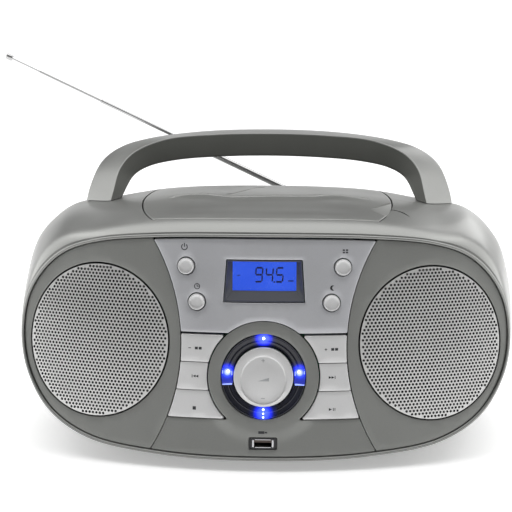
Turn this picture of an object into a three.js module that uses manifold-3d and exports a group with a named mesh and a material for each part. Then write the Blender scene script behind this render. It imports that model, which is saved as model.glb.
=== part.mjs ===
// A portable CD and radio player with a carrying handle and a telescopic aerial.
// Millimetres, +X to the right, +Y to the back, +Z up. The group is moved at the end so that the
// origin is the middle of the underside of its box. Until then x = 0 is the middle of the case,
// y = 0 its widest section, and z = 0 the surface that its feet stand on.
import * as THREE from "three";
import { ConvexGeometry } from "three/addons/geometries/ConvexGeometry.js";
import { mergeVertices } from "three/addons/utils/BufferGeometryUtils.js";
import Module from "manifold-3d";

const wasm = await Module();
wasm.setup();

// ---- Driving dimensions ----
const GAP = 0.35; // between pieces that meet
const WALL = 2.8; // case thickness
const CASE_BACK = 105;
const REAR_TAPER_START = 15;
const REAR_WIDTH_SHARE = 0.78; // size of the flat back against the widest section
const REAR_HEIGHT_SHARE = 0.589;
const REAR_LIFT = 9; // how far the underside rises at the back
const CASE_TOP = 146;
const CASE_BOTTOM = 4;
const PARTING_Y = -3; // where the front and rear housings meet

// The front face is a vertical cylinder-like sheet that leans back.
const FACE_Y = -105;
const FACE_CURVE = 1.95e-3; // per mm
const FACE_LEAN = Math.tan(THREE.MathUtils.degToRad(8));
const FACE_LEAN_Z = 37; // height at which FACE_Y is measured
const LIP_PROUD = 1.5; // the rim stands in front of the panels
const LIP_WIDTH = 2;
const PANEL_THICK = 2.6;
const PANEL_PLAY = 0.5; // between the panels and the rim

// Half outlines of the case, [x, z] from the middle of the top round to the middle of the bottom.
const RIM_OUTLINE = [
  [0, 132.8], [61.5, 131.3], [97, 127], [117, 119.8], [131, 107.5], [140.6, 90],
  [143.4, 67.6], [139.1, 46.3], [126, 26.3], [103.2, 13.4], [60.5, 7.5], [0, 6],
];
const WIDE_OUTLINE = [
  [0, CASE_TOP], [62, 144], [100, 137.8], [124.2, 133.2], [140, 118.6], [148.4, 93],
  [150.8, 66], [146.6, 38], [131.8, 16], [106.6, 4.9], [62, 4], [0, CASE_BOTTOM],
];
const OUTLINE_SEGMENTS = 66; // a multiple of the 22 points that make a whole outline
const HIDDEN_SEGMENTS = 44; // for the inside of the case
const INNER_REACH = 60; // how far the inside is carried forward to open the front

// The middle column of the front, between two arcs.
const COLUMN_WAIST = 47;
const COLUMN_ARC_R = 113;
const COLUMN_ARC_Z = 70;
const COLUMN_STEPS = 12;
const COLUMN_LOW = -20; // past the case, below and above
const COLUMN_HIGH = 150;
const COLUMN_PLAY = 0.15; // on each side of its edges

const DIAL_Z = 53;
const BEZEL_R = 31.2;
const BEZEL_RISE = 0.45;
// Rings around the dial, [radius, height in front of the face].
const BEZEL_EDGE = [0.6, 1.2]; // its bevels, outside and inside
const RING_DEPTH = 6;
const RING_R = 23.8;
const ROCKER_R = 16.8;
const ROCKER_SINK = 6; // pivot of the rocker behind the face
const THROUGH = 30; // reach of a cut to each side of the face

const FASCIA_BOTTOM = 77.2;
const BUTTON_ROWS = [76.2, 60.5, 44.8, 29.1]; // heights of the lines between the key rows
const FASCIA_PROUD = 0.5; // in front of the face
const KEY_PROUD = 0.8;
const KEY_DEPTH = 5;
const KEY_STEM = { x: 39, half: 2, from: 4.5, to: 7.8 };
const ROUND_BUTTON_R = 4.8;
const ROUND_PROUD = 1.2;
const ROUND_DEPTH = 4.5;
const ROUND_STEM = { radius: 1.6, from: 4, to: 7.8 };
const ROUND_BUTTONS = {
  function_button: [-44.3, 114],
  clock_button: [-38, 94.2],
  mode_button: [44.3, 114],
  sleep_button: [38, 94.2],
};

const SCREEN = { half: 18, low: 100.4, high: 117.2 };
const SCREEN_FRAME = { proud: 0.3, depth: 4.6, lip: 0.7 };
const FUNNEL = [-2, 3]; // depths of its sloping sides
const SCREEN_WINDOW = [3.4, 4.4]; // depths behind the face
const SCREEN_MODULE = { side: 1, below: 2, above: 0.5, from: 5, to: 8.6 };
const KEY_BOARD = { half: 47, low: 28, high: 119, from: 9.2, to: 10.8, hole: 10 };
const BEZEL_WINDOW = { topHalf: 21.2, bottomHalf: 22.8, low: 94.6, high: 118 };

const SPEAKER_X = 96.4;
const SPEAKER_Z = 69.4;
const SPEAKER_HOLE_R = 44.5;
const GRILLE_R = 43.6;
const GRILLE_DEPTHS = [-0.4, 0.8];
// Speaker parts behind the grille, [radius, height in front of the face].
const FRAME_PROFILE = [
  [35.5, -8], [41.5, -8], [41.5, -9.4], [37, -9.4], [33, -20], [23, -25],
  [11, -25], [11, -23.6], [22.4, -23.6], [32, -19], [35.5, -9.4], [35.5, -8],
];
const CONE_PROFILE = [
  [0, -14.6], [6, -15.4], [9.2, -17.4], [31, -9.2], [33, -7.4], [35.2, -8.2], [35.2, -9],
  [33.2, -8.4], [31, -10.2], [9.4, -18.6], [9.4, -22.8], [0, -22.8],
];
const MAGNET_PROFILE = [
  [0, -25.4], [20, -25.4], [20, -27.4], [22.5, -27.4], [22.5, -36], [20, -36], [20, -38], [0, -38],
];

const USB_Z = 15.6;
const USB_HOLE = [16, 7];
const USB_SHELL = { half: [6.7, 2.9], wall: 0.5, front: 0.4, length: 15, back: 1.2 };
const USB_TONGUE = { half: 5.4, low: 0.3, high: 2, front: 1.6, length: 12.2 };

const LID_FRONT = -77.8;
const LID_FRONT_BOW = 8; // its front edge bows forward in the middle
const LID_BACK = 48;
// The right side of the lid seen from above, [x, y]: front corner, the pull of its bulge, the
// bend ahead of the rear corner, and the rear corner.
const LID_SIDE = {
  corner: 65,
  bulgeFront: [77, -48],
  bulgeRear: [78, 4],
  bend: [69, 36],
  turn: [67.5, 42],
  rearPull: 64,
  rear: 58,
};
const LID_CURVE_STEPS = 8;
const LID_OPENING = { grow: 0.5, back: 54, from: 100, to: 170 };
const LID_AXIS = { y: 50.6, z: 139.7 };
const LID_SKIN = 3;
const LID_SKIN_LOW = 120; // its skin is cut from the case above this height
const LID_KNUCKLE_R = 2.5;
const LID_KNUCKLE_HALF = 50;
const LID_BORE_R = 1.5;
const LID_PIN_R = 1.15;
const LID_WEB = { reach: 4.6, below: 1, above: 1.6 }; // joins the knuckle to the lid's skin
// The finger hold in the right edge of the lid, and the hollow for a fingertip beside it.
const NOTCH_CORNERS = [[62, -47, 141.9], [80, -20, 141], [76, -68, 139.4], [80, -45, 133]];
const NOTCH_HEIGHT = 12;
const SCOOP = { size: [12, 6.5, 3.4], centre: [74, -50, 141.4] };
const DECK_TOP = 131;
const DECK_BOTTOM = 112;
const WELL_FLOOR = 122;
const WELL_R = 61.5;
const DECK_SKIN = 2.4; // floor of the well
const DECK_EDGE = 3.5; // ledge that the lid closes onto
const DECK_FRONT = 46; // its raised rear part starts behind this
const DECK_REAR_STEP = { y: 44, rise: 4 };
const SPINDLE_Y = -13;
const HUB_HOLE_R = 9;
const PICKUP_SLOT = { half: 9, from: 16, to: 58 }; // y from the spindle
// Spindle and motor, [radius, z].
const HUB_SHAFT = [[0, 113.4], [1.2, 113.4], [1.2, 120.6], [8.4, 120.6], [8.4, 121.2], [0, 121.2]];
const HUB_TABLE = [[0, 121], [8.4, 121], [8.4, 123.4], [7.2, 124], [7.2, 126.4], [5.6, 128.6], [0, 129.2]];
const MOTOR = [[0, 96], [11, 96], [12, 97], [12, 110.6], [11, 111.6], [3, 111.6], [3, 112.8], [0, 112.8]];

const RAIL_X = 11.5;
const RAIL_Z = 114.6;
const RAIL_R = 1.5;
const RAIL_Y = [0, 46];
const PICKUP_START = SPINDLE_Y + 17;
const PICKUP_LENGTH = 11;
const CARRIAGE = { half: 15, low: 112.2, high: 117.6, bore: 1.9 };
const PICKUP_HEAD = { half: 7.5, low: 117, high: 120.6 };
const LENS = { radius: 3, low: 120, high: 121.6 };

const BATTERY = { half: 66, low: 19, high: 66, depth: 40 };
const DOOR_THICK = 2.4;
const DOOR_GRIP = { half: 12, from: 9, to: 4, depth: 1 }; // heights below the top edge
const TRAY_WALL = 2;
const TRAY_RIB = { half: 1, set: 14 }; // stands between the two rows of cells
const BACK_CUT = [90, 120]; // reach of the openings in the flat back
const INLET = { left: 82, right: 104, low: 24, high: 40, depth: 16, sunk: 0.4 };
const INLET_RECESS = { side: 3, edge: 3.5, depth: 11 };
const INLET_PIN = { radius: 1.2, half: 5, from: 12, to: 3 };
const SCREW_PLACES = { left: [-84, 60], right: [84, 60] };
const SCREW_HOLE_R = 3.2;
const SCREW_HEAD = [[0, 0], [2.8, 0], [2.8, 1], [2.2, 1.8], [0, 2]]; // [radius, height]
const SCREW = { sunk: 2.4, shankR: 1.4, shankFrom: 14, shankTo: 2, slot: [0.4, 2, 1.2] };

// Inside the case: [x range, y range, z range].
const MAIN_BOARD = [[-62, 62], [-60, 26], [24, 25.6]];
const BOARD_BLOCKS = [
  [[-40, -22], [-30, -12], [25, 28]],
  [[0, 14], [-44, -30], [25, 28]],
  [[28, 34], [-10, 20], [25, 44]],
];
// Capacitors: [radius, x, y, bottom, top].
const BOARD_CANS = [[6, -10, 10, 25, 44], [4, 8, 12, 25, 38]];
const TRANSFORMER_CORE = [[-112, -76], [34, 64], [14, 46]];
const TRANSFORMER_WINDING = [[-108, -80], [26, 72], [20, 40]];

const FOOT_R = 8;
const FOOT_HEIGHT = 12; // before its top is cut to the underside
const FOOT_PLACES = {
  front_left: [-66, -62],
  front_right: [66, -62],
  rear_left: [-74, 66],
  rear_right: [74, 66],
};

const AERIAL = { x: 40, y: 97, z: 121.8, slope: THREE.MathUtils.degToRad(25.2) };
const AERIAL_FORK_R = 4.6;
const AERIAL_TONGUE = 3; // thickness of the flat end in the fork
const AERIAL_EYE = { radius: 3, bore: 1.45, pin: 1.1, width: 4.4 };
const AERIAL_POST = { bottom: 104, above: 4.4, slotBelow: 4.6, pinInset: 0.6 };
const AERIAL_HOLE = [100, 140]; // z
// Each stage of the aerial: start and end along it, and its outer and inner radius (0 = solid).
const AERIAL_STAGES = [
  { start: 8, end: 88, outer: 2.1, inner: 1.85 },
  { start: 60, end: 112, outer: 1.65, inner: 1.4 },
  { start: 106, end: 170, outer: 1.2, inner: 1 },
  { start: 160, end: 215, outer: 0.8, inner: 0.6 },
  { start: 188, end: 235, outer: 0.45, inner: 0 },
];
const AERIAL_PLUG = { radius: 2.3, before: 0.5, after: 1.4 };
// [radius, distance past the end of the last stage]
const AERIAL_KNOB = [[0, -0.4], [1.4, -0.4], [2, 0.6], [2, 3.5], [1.2, 4.5], [0, 4.5]];

// The handle is a swept bar with five edges. Each half edge is [x, y, z] from the case upward.
const HANDLE_RIDGE = [
  [100, -3, 127], [97, 11, 143], [93.5, 25, 157.5], [85.5, 34, 166.4],
  [66, 41, 174], [35, 44, 177], [0, 45, 177.8],
];
const HANDLE_OUTER = [
  [117.4, 19, 123], [114.1, 34, 145], [107.3, 47, 160], [95.5, 55, 168.2],
  [78, 60, 173], [45, 64.5, 177.2], [0, 66, 178.8],
];
const HANDLE_INNER = [
  [96, 3, 127], [90.3, 15, 142], [84.3, 26, 152.5], [75, 31.5, 157.5],
  [58, 35, 161], [33, 37, 163], [0, 38, 163.8],
];
const HANDLE_BACK_SHIFT = [-3, 9, -3];
const HANDLE_UNDER_SHIFT = [3, 25, 2];
const HANDLE_STATIONS = 26;
const HANDLE_SEAM = { front: 0.04, back: 0.45 }; // where its two shells meet, across the bar
const HANDLE_SEAM_GAP = { front: 0.04, back: 0.05 };

// ---- Solids ----
const BIG = 400;

function solidOf(geometry) {
  const plain = geometry.clone();
  plain.deleteAttribute("normal");
  plain.deleteAttribute("uv");
  const merged = mergeVertices(plain, 1e-4);
  const vertProperties = new Float32Array(merged.attributes.position.array);
  const triVerts = new Uint32Array(merged.index.array);
  return new wasm.Manifold(new wasm.Mesh({ numProp: 3, vertProperties, triVerts }));
}

function geometryOf(solid) {
  const mesh = solid.getMesh();
  const positions = new Float32Array(mesh.numVert * 3);
  for (let i = 0; i < mesh.numVert; i += 1) {
    positions.set(mesh.vertProperties.subarray(i * mesh.numProp, i * mesh.numProp + 3), i * 3);
  }
  const geometry = new THREE.BufferGeometry();
  geometry.setAttribute("position", new THREE.BufferAttribute(positions, 3));
  geometry.setIndex(new THREE.BufferAttribute(new Uint32Array(mesh.triVerts), 1));
  geometry.computeVertexNormals();
  return geometry;
}

function block([x0, x1], [y0, y1], [z0, z1]) {
  const box = new THREE.BoxGeometry(x1 - x0, y1 - y0, z1 - z0);
  box.translate((x0 + x1) / 2, (y0 + y1) / 2, (z0 + z1) / 2);
  return solidOf(box);
}

function join(...solids) {
  return solids.reduce((whole, next) => whole.add(next));
}

// A surface of revolution from [radius, height] points, its height turned to axis and moved to place.
function turned(profile, place = [0, 0, 0], axis = [0, 0, 1], segments = 24) {
  const around = profile.reduce((sum, [r, h], i) => {
    const [nextR, nextH] = profile[(i + 1) % profile.length];
    return sum + r * nextH - nextR * h;
  }, 0);
  const ordered = around > 0 ? profile : [...profile].reverse();
  const points = ordered.map(([r, h]) => new THREE.Vector2(r, h));
  const lathe = new THREE.LatheGeometry(points, segments);
  const turn = new THREE.Quaternion().setFromUnitVectors(
    new THREE.Vector3(0, 1, 0),
    new THREE.Vector3(...axis).normalize(),
  );
  lathe.applyQuaternion(turn);
  lathe.translate(...place);
  return solidOf(lathe);
}

function rod(radius, from, to, segments = 16) {
  const a = new THREE.Vector3(...from);
  const b = new THREE.Vector3(...to);
  const length = a.distanceTo(b);
  const axis = b.sub(a).toArray();
  return turned([[0, 0], [radius, 0], [radius, length], [0, length]], from, axis, segments);
}

function ringProfile(inner, outer, low, high) {
  return [[inner, low], [outer, low], [outer, high], [inner, high], [inner, low]];
}

// An outline of [x, z] points, carried along +Y from y0 to y1.
function prismY(points, y0 = -BIG / 2, y1 = BIG / 2) {
  const shape = new THREE.Shape(points.map(([x, z]) => new THREE.Vector2(x, z)));
  const geometry = new THREE.ExtrudeGeometry(shape, { depth: y1 - y0, bevelEnabled: false });
  geometry.rotateX(Math.PI / 2);
  geometry.translate(0, y1, 0);
  return solidOf(geometry);
}

// An outline of [x, y] points, carried along +Z from z0 to z1.
function prismZ(points, z0, z1) {
  const shape = new THREE.Shape(points.map(([x, y]) => new THREE.Vector2(x, y)));
  const geometry = new THREE.ExtrudeGeometry(shape, { depth: z1 - z0, bevelEnabled: false });
  geometry.translate(0, 0, z0);
  return solidOf(geometry);
}

// A closed skin through rings of equal length, with a flat fan at each end.
function loft(rings) {
  const count = rings[0].length;
  const positions = rings.flat().flatMap((p) => [p.x, p.y, p.z]);
  const indices = [];
  for (let r = 0; r < rings.length - 1; r += 1) {
    for (let i = 0; i < count; i += 1) {
      const a = r * count + i;
      const b = r * count + ((i + 1) % count);
      indices.push(a, a + count, b, b, a + count, b + count);
    }
  }
  for (const [ring, last] of [[0, false], [rings.length - 1, true]]) {
    const middle = new THREE.Vector3();
    rings[ring].forEach((p) => middle.add(p));
    middle.divideScalar(count);
    const centre = positions.length / 3;
    positions.push(middle.x, middle.y, middle.z);
    for (let i = 0; i < count; i += 1) {
      const a = ring * count + i;
      const b = ring * count + ((i + 1) % count);
      indices.push(...(last ? [centre, b, a] : [centre, a, b]));
    }
  }
  const geometry = new THREE.BufferGeometry();
  geometry.setAttribute("position", new THREE.Float32BufferAttribute(positions, 3));
  geometry.setIndex(indices);
  const made = solidOf(geometry);
  if (made.volume() > 0) return made;
  const flipped = geometry.clone();
  flipped.setIndex(indices.map((_, i) => indices[i - (i % 3) + (2 - (i % 3))]));
  return solidOf(flipped);
}

function rectangle(x0, x1, z0, z1) {
  return [[x0, z0], [x1, z0], [x1, z1], [x0, z1]];
}

function circle(cx, cz, radius, segments = 40) {
  return Array.from({ length: segments }, (_, i) => {
    const angle = (i / segments) * Math.PI * 2;
    return [cx + radius * Math.cos(angle), cz + radius * Math.sin(angle)];
  });
}

// ---- Front face ----
function faceY(x, z) {
  return FACE_Y + FACE_CURVE * x * x + (z - FACE_LEAN_Z) * FACE_LEAN;
}

function faceNormal(x) {
  return new THREE.Vector3(2 * FACE_CURVE * x, -1, FACE_LEAN).normalize();
}

const FACE_REACH = 170;
const FACE_STEPS = 26;

// Everything in front of the face moved back by offset.
function inFrontOf(offset) {
  const shape = new THREE.Shape();
  shape.moveTo(-FACE_REACH, -BIG / 2);
  shape.lineTo(FACE_REACH, -BIG / 2);
  for (let i = 0; i <= FACE_STEPS; i += 1) {
    const x = FACE_REACH - (2 * FACE_REACH * i) / FACE_STEPS;
    shape.lineTo(x, FACE_Y + FACE_CURVE * x * x + offset);
  }
  const geometry = new THREE.ExtrudeGeometry(shape, { depth: BIG / 2, bevelEnabled: false });
  geometry.translate(0, 0, -BIG / 8);
  const lean = new THREE.Matrix4().set(
    1, 0, 0, 0,
    0, 1, FACE_LEAN, -FACE_LEAN * FACE_LEAN_Z,
    0, 0, 1, 0,
    0, 0, 0, 1,
  );
  geometry.applyMatrix4(lean);
  return solidOf(geometry);
}

// A sheet that follows the front face between two depths, cut to an outline.
function faceSheet(outline, from, to) {
  return inFrontOf(to).subtract(inFrontOf(from)).intersect(prismY(outline));
}

// ---- Case ----
function outlineCurve(half) {
  const mirrored = half.slice(1, -1).reverse().map(([x, z]) => [-x, z]);
  const points = [...half, ...mirrored].map(([x, z]) => new THREE.Vector3(x, 0, z));
  return new THREE.CatmullRomCurve3(points, true, "centripetal");
}

function outlinePoints(half, inset = 0, segments = OUTLINE_SEGMENTS) {
  const curve = outlineCurve(half);
  const middleZ = (half[0][1] + half[half.length - 1][1]) / 2;
  const halfWidth = Math.max(...half.map(([x]) => x));
  const halfHeight = (half[0][1] - half[half.length - 1][1]) / 2;
  return Array.from({ length: segments }, (_, i) => {
    const p = curve.getPoint(i / segments);
    return [p.x * (1 - inset / halfWidth), middleZ + (p.z - middleZ) * (1 - inset / halfHeight)];
  });
}

const FRONT_RINGS = [0, 0.04, 0.13, 0.32, 0.62, 1]; // share of the way to the widest section
const REAR_RINGS = [0.4, 0.66, 0.84, 0.95, 1]; // share of the way to the back
const REAR_ROUND = 2.6; // power of the curve that closes the back
const LIFT_ROUND = 6; // power of the curve of its underside
const SHOULDER = { share: 0.3, reach: 0.05, from: 70, to: 125 }; // the last two are heights
const LIP_STEPS = [6, 1.2]; // insets of the rim's flat and of its nose

// How far an outline has grown from the rim to the widest section. The top has a round shoulder
// just behind the rim, and the sides and underside grow evenly.
function swell(share, z) {
  const { share: quick, reach, from, to } = SHOULDER;
  const top = quick * (1 - Math.exp(-share / reach)) + (1 - quick) * (1 - (1 - share) ** 2);
  return THREE.MathUtils.lerp(share, top, THREE.MathUtils.smoothstep(z, from, to));
}

// The whole case as a solid, moved in by inset. A forward reach carries its front past the face.
function caseSolid(inset, reach = 0) {
  const segments = reach > 0 ? HIDDEN_SEGMENTS : OUTLINE_SEGMENTS;
  const rim = outlinePoints(RIM_OUTLINE, reach > 0 ? LIP_WIDTH : inset, segments);
  const wide = outlinePoints(WIDE_OUTLINE, inset, segments);
  const rings = [];
  if (reach > 0) {
    rings.push(rim.map(([x, z]) => new THREE.Vector3(x, FACE_Y - reach, z)));
  } else {
    const [flat, nose] = LIP_STEPS.map((step) => outlinePoints(RIM_OUTLINE, inset + step));
    rings.push(flat.map(([x, z]) => new THREE.Vector3(x, faceY(x, z) - LIP_PROUD, z)));
    rings.push(nose.map(([x, z]) => new THREE.Vector3(x, faceY(x, z) - LIP_PROUD, z)));
  }
  for (const share of FRONT_RINGS) {
    rings.push(
      rim.map(([rx, rz], i) => {
        const blend = swell(share, rz);
        const x = THREE.MathUtils.lerp(rx, wide[i][0], blend);
        const z = THREE.MathUtils.lerp(rz, wide[i][1], blend);
        const front = faceY(rx, rz) - LIP_PROUD + 1;
        return new THREE.Vector3(x, THREE.MathUtils.lerp(front, 0, share), z);
      }),
    );
  }
  const depth = CASE_BACK - inset - REAR_TAPER_START;
  rings.push(wide.map(([x, z]) => new THREE.Vector3(x, REAR_TAPER_START, z)));
  for (const share of REAR_RINGS) {
    const round = Math.sqrt(1 - share ** REAR_ROUND);
    const scaleX = REAR_WIDTH_SHARE + (1 - REAR_WIDTH_SHARE) * round;
    const scaleZ = REAR_HEIGHT_SHARE + (1 - REAR_HEIGHT_SHARE) * round;
    const lift = REAR_LIFT * (1 - Math.sqrt(1 - share ** LIFT_ROUND));
    const liftShare = lift / (CASE_TOP - CASE_BOTTOM);
    const y = REAR_TAPER_START + depth * share;
    const under = CASE_BOTTOM + lift;
    rings.push(
      wide.map(([x, z]) => {
        const height = (z - CASE_BOTTOM) * (scaleZ - liftShare);
        return new THREE.Vector3(x * scaleX, y, under + height);
      }),
    );
  }
  return loft(rings);
}

// The lid seen from above, grown outward all round.
function lidOutline(grow = 0, back = LID_BACK) {
  const front = LID_FRONT + LID_FRONT_BOW - grow;
  const { corner, bulgeFront, bulgeRear, bend, turn, rearPull, rear } = LID_SIDE;
  const shape = new THREE.Shape();
  const curveBy = (side, ...controls) => {
    shape.bezierCurveTo(...controls.flatMap(([x, y]) => [side * (x + grow), y]));
  };
  const rearCorner = [[rearPull, back + grow], [rear, back + grow]];
  shape.moveTo(-corner - grow, front);
  shape.quadraticCurveTo(0, front - 2 * LID_FRONT_BOW, corner + grow, front);
  curveBy(1, bulgeFront, bulgeRear, bend);
  curveBy(1, turn, ...rearCorner);
  shape.lineTo(-rear - grow, back + grow);
  curveBy(-1, rearCorner[0], turn, bend);
  curveBy(-1, bulgeRear, bulgeFront, [corner, front]);
  const points = shape.getPoints(LID_CURVE_STEPS).map((p) => [p.x, p.y]);
  points.pop();
  return points;
}

const outerCase = caseSolid(0);
const innerCase = caseSolid(WALL, INNER_REACH);
const clearOfCase = caseSolid(-GAP);
const shell = outerCase.subtract(innerCase);
const lidOpening = prismZ(
  lidOutline(LID_OPENING.grow, LID_OPENING.back),
  LID_OPENING.from,
  LID_OPENING.to,
);
const [holeLow, holeHigh] = AERIAL_HOLE.map((z) => [AERIAL.x, AERIAL.y, z]);
const aerialHole = rod(AERIAL_FORK_R + GAP, holeLow, holeHigh);

function doorOutline(grow = 0) {
  const { half, low, high } = BATTERY;
  return rectangle(-half - grow, half + grow, low - grow, high + grow);
}

function inletOutline(grow = 0) {
  const { left, right, low, high } = INLET;
  return rectangle(left - grow, right + grow, low - grow, high + grow);
}

function frontHousing() {
  return shell.intersect(block([-BIG, BIG], [-BIG, PARTING_Y - GAP / 2], [-BIG, BIG]))
    .subtract(lidOpening)
    .subtract(thumbScoop());
}

function rearHousing() {
  const screwHoles = Object.values(SCREW_PLACES).map(([x, z]) => circle(x, z, SCREW_HOLE_R, 20));
  let made = shell.intersect(block([-BIG, BIG], [PARTING_Y + GAP / 2, BIG], [-BIG, BIG]));
  made = made.subtract(lidOpening).subtract(aerialHole);
  for (const outline of [doorOutline(GAP), inletOutline(GAP), ...screwHoles]) {
    made = made.subtract(prismY(outline, ...BACK_CUT));
  }
  return made;
}

// ---- Front panels ----
const panelOutline = outlinePoints(RIM_OUTLINE, LIP_WIDTH + PANEL_PLAY);

function columnHalf(z) {
  return COLUMN_WAIST + COLUMN_ARC_R - Math.sqrt(COLUMN_ARC_R ** 2 - (z - COLUMN_ARC_Z) ** 2);
}

function columnOutline(low, high, inset) {
  const heights = Array.from({ length: COLUMN_STEPS + 1 }, (_, i) => low + ((high - low) * i) / COLUMN_STEPS);
  const right = heights.map((z) => [columnHalf(z) - inset, z]);
  const left = [...heights].reverse().map((z) => [-columnHalf(z) + inset, z]);
  return [...right, ...left];
}

function speakerPlace(side) {
  const x = side * SPEAKER_X;
  return { centre: new THREE.Vector3(x, faceY(x, SPEAKER_Z), SPEAKER_Z), axis: faceNormal(x) };
}

function alongSpeaker(side, profile, segments = 20) {
  const { centre, axis } = speakerPlace(side);
  return turned(profile, centre.toArray(), axis.toArray(), segments);
}

function disc(radius, low, high) {
  return [[0, low], [radius, low], [radius, high], [0, high]];
}

function frontPanel(side) {
  const column = prismY(columnOutline(COLUMN_LOW, COLUMN_HIGH, -COLUMN_PLAY));
  const half = block(side > 0 ? [0, BIG] : [-BIG, 0], [-BIG, BIG], [-BIG, BIG]);
  const sheet = faceSheet(panelOutline, 0, PANEL_THICK).subtract(column).intersect(half);
  return sheet.subtract(alongSpeaker(side, disc(SPEAKER_HOLE_R, -THROUGH, THROUGH), 40));
}

const dialPlace = [0, faceY(0, DIAL_Z), DIAL_Z];
const dialAxis = faceNormal(0).toArray();

function atDial(profile, segments = 32) {
  return turned(profile, dialPlace, dialAxis, segments);
}

const dialHole = atDial(disc(BEZEL_R + GAP, -THROUGH, THROUGH), 40);

const bezelWindowOutline = [
  [-BEZEL_WINDOW.bottomHalf, BEZEL_WINDOW.low],
  [BEZEL_WINDOW.bottomHalf, BEZEL_WINDOW.low],
  [BEZEL_WINDOW.topHalf, BEZEL_WINDOW.high],
  [-BEZEL_WINDOW.topHalf, BEZEL_WINDOW.high],
];

function grownOutline(outline, grow) {
  const middleZ = (outline[0][1] + outline[2][1]) / 2;
  return outline.map(([x, z]) => [x + Math.sign(x) * grow, z + Math.sign(z - middleZ) * grow]);
}

function upperFascia() {
  const outline = columnOutline(FASCIA_BOTTOM, COLUMN_HIGH, COLUMN_PLAY);
  const sheet = faceSheet(outline, -FASCIA_PROUD, PANEL_THICK).intersect(prismY(panelOutline));
  let made = sheet.subtract(dialHole).subtract(prismY(grownOutline(bezelWindowOutline, GAP)));
  for (const [x, z] of Object.values(ROUND_BUTTONS)) {
    made = made.subtract(prismY(circle(x, z, ROUND_BUTTON_R + GAP, 24)));
  }
  return made;
}

const bezelRing = atDial([
  [RING_R + GAP, -PANEL_THICK],
  [BEZEL_R, -PANEL_THICK],
  [BEZEL_R, 0],
  [BEZEL_R - BEZEL_EDGE[0], BEZEL_RISE],
  [RING_R + BEZEL_EDGE[1], BEZEL_RISE],
  [RING_R + GAP, -0.2],
  [RING_R + GAP, -PANEL_THICK],
]);

function lowerFascia() {
  const bottomRow = BUTTON_ROWS[BUTTON_ROWS.length - 1];
  const outline = columnOutline(COLUMN_LOW, bottomRow - GAP, COLUMN_PLAY);
  const sheet = faceSheet(outline, 0, PANEL_THICK).intersect(prismY(panelOutline));
  const [w, h] = USB_HOLE;
  const socket = prismY(rectangle(-w / 2, w / 2, USB_Z - h / 2, USB_Z + h / 2));
  const opening = atDial(disc(BEZEL_R - 1, -THROUGH, THROUGH), 40);
  return sheet.subtract(opening).add(bezelRing).subtract(socket);
}

// ---- Controls ----
function keyButton(side, row) {
  const top = BUTTON_ROWS[row] - GAP / 2;
  const bottom = BUTTON_ROWS[row + 1] + GAP / 2;
  const half = block(side > 0 ? [0, BIG] : [-BIG, 0], [-BIG, BIG], [-BIG, BIG]);
  const sheet = faceSheet(columnOutline(bottom, top, GAP), -KEY_PROUD, KEY_DEPTH);
  const cap = sheet.intersect(half).subtract(dialHole);
  const x = side * KEY_STEM.x;
  const z = (top + bottom) / 2;
  const square = rectangle(x - KEY_STEM.half, x + KEY_STEM.half, z - KEY_STEM.half, z + KEY_STEM.half);
  return cap.add(faceSheet(square, KEY_STEM.from, KEY_STEM.to));
}

function roundButton([x, z]) {
  const { radius, from, to } = ROUND_STEM;
  const cap = faceSheet(circle(x, z, ROUND_BUTTON_R, 24), -ROUND_PROUD, ROUND_DEPTH);
  return cap.add(faceSheet(circle(x, z, radius, 12), from, to));
}

function lightRing() {
  return atDial([
    [ROCKER_R + 0.5, -RING_DEPTH],
    [RING_R, -RING_DEPTH],
    [RING_R, -0.6],
    [RING_R - 1, -0.2],
    [ROCKER_R + 2.4, -2],
    [ROCKER_R + 0.5, -2.2],
    [ROCKER_R + 0.5, -RING_DEPTH],
  ]);
}

function volumeRocker() {
  return atDial([
    [0, -ROCKER_SINK],
    [ROCKER_R - 1.6, -ROCKER_SINK],
    [ROCKER_R - 1.6, -4],
    [ROCKER_R, -3],
    [ROCKER_R, 1.6],
    [ROCKER_R - 1.2, 2.8],
    [ROCKER_R * 0.6, 3.5],
    [0, 3.8],
  ]);
}

function outlineRing(outline, depth) {
  return outline.map(([x, z]) => new THREE.Vector3(x, faceY(x, z) + depth, z));
}

function displayBezel() {
  const screen = rectangle(-SCREEN.half, SCREEN.half, SCREEN.low, SCREEN.high);
  const frame = faceSheet(bezelWindowOutline, -SCREEN_FRAME.proud, SCREEN_FRAME.depth);
  const mouth = grownOutline(bezelWindowOutline, -SCREEN_FRAME.lip);
  const funnel = loft([outlineRing(mouth, FUNNEL[0]), outlineRing(screen, FUNNEL[1])]);
  return frame.subtract(funnel).subtract(prismY(screen));
}

function displayWindow() {
  const { half, low, high } = SCREEN;
  return faceSheet(rectangle(-half + GAP, half - GAP, low + GAP, high - GAP), ...SCREEN_WINDOW);
}

function displayModule() {
  const { side, below, above, from, to } = SCREEN_MODULE;
  const { half, low, high } = SCREEN;
  return faceSheet(rectangle(-half - side, half + side, low - below, high + above), from, to);
}

function keyBoard() {
  const { half, low, high, from, to, hole } = KEY_BOARD;
  const board = faceSheet(rectangle(-half, half, low, high), from, to);
  return board.subtract(atDial(disc(hole, -THROUGH, THROUGH), 24));
}

// ---- Speakers ----
function speakerGrille(side) {
  const [front, back] = GRILLE_DEPTHS;
  const sheet = inFrontOf(back).subtract(inFrontOf(front));
  return sheet.intersect(alongSpeaker(side, disc(GRILLE_R, -THROUGH, THROUGH), 40));
}

// ---- USB socket ----
function usbShell() {
  const { half: [w, h], wall, front, length, back } = USB_SHELL;
  const y = faceY(0, USB_Z) + front;
  const outer = rectangle(-w, w, USB_Z - h, USB_Z + h);
  const inner = rectangle(-w + wall, w - wall, USB_Z - h + wall, USB_Z + h - wall);
  return prismY(outer, y, y + length).subtract(prismY(inner, y - 1, y + length - back));
}

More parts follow.
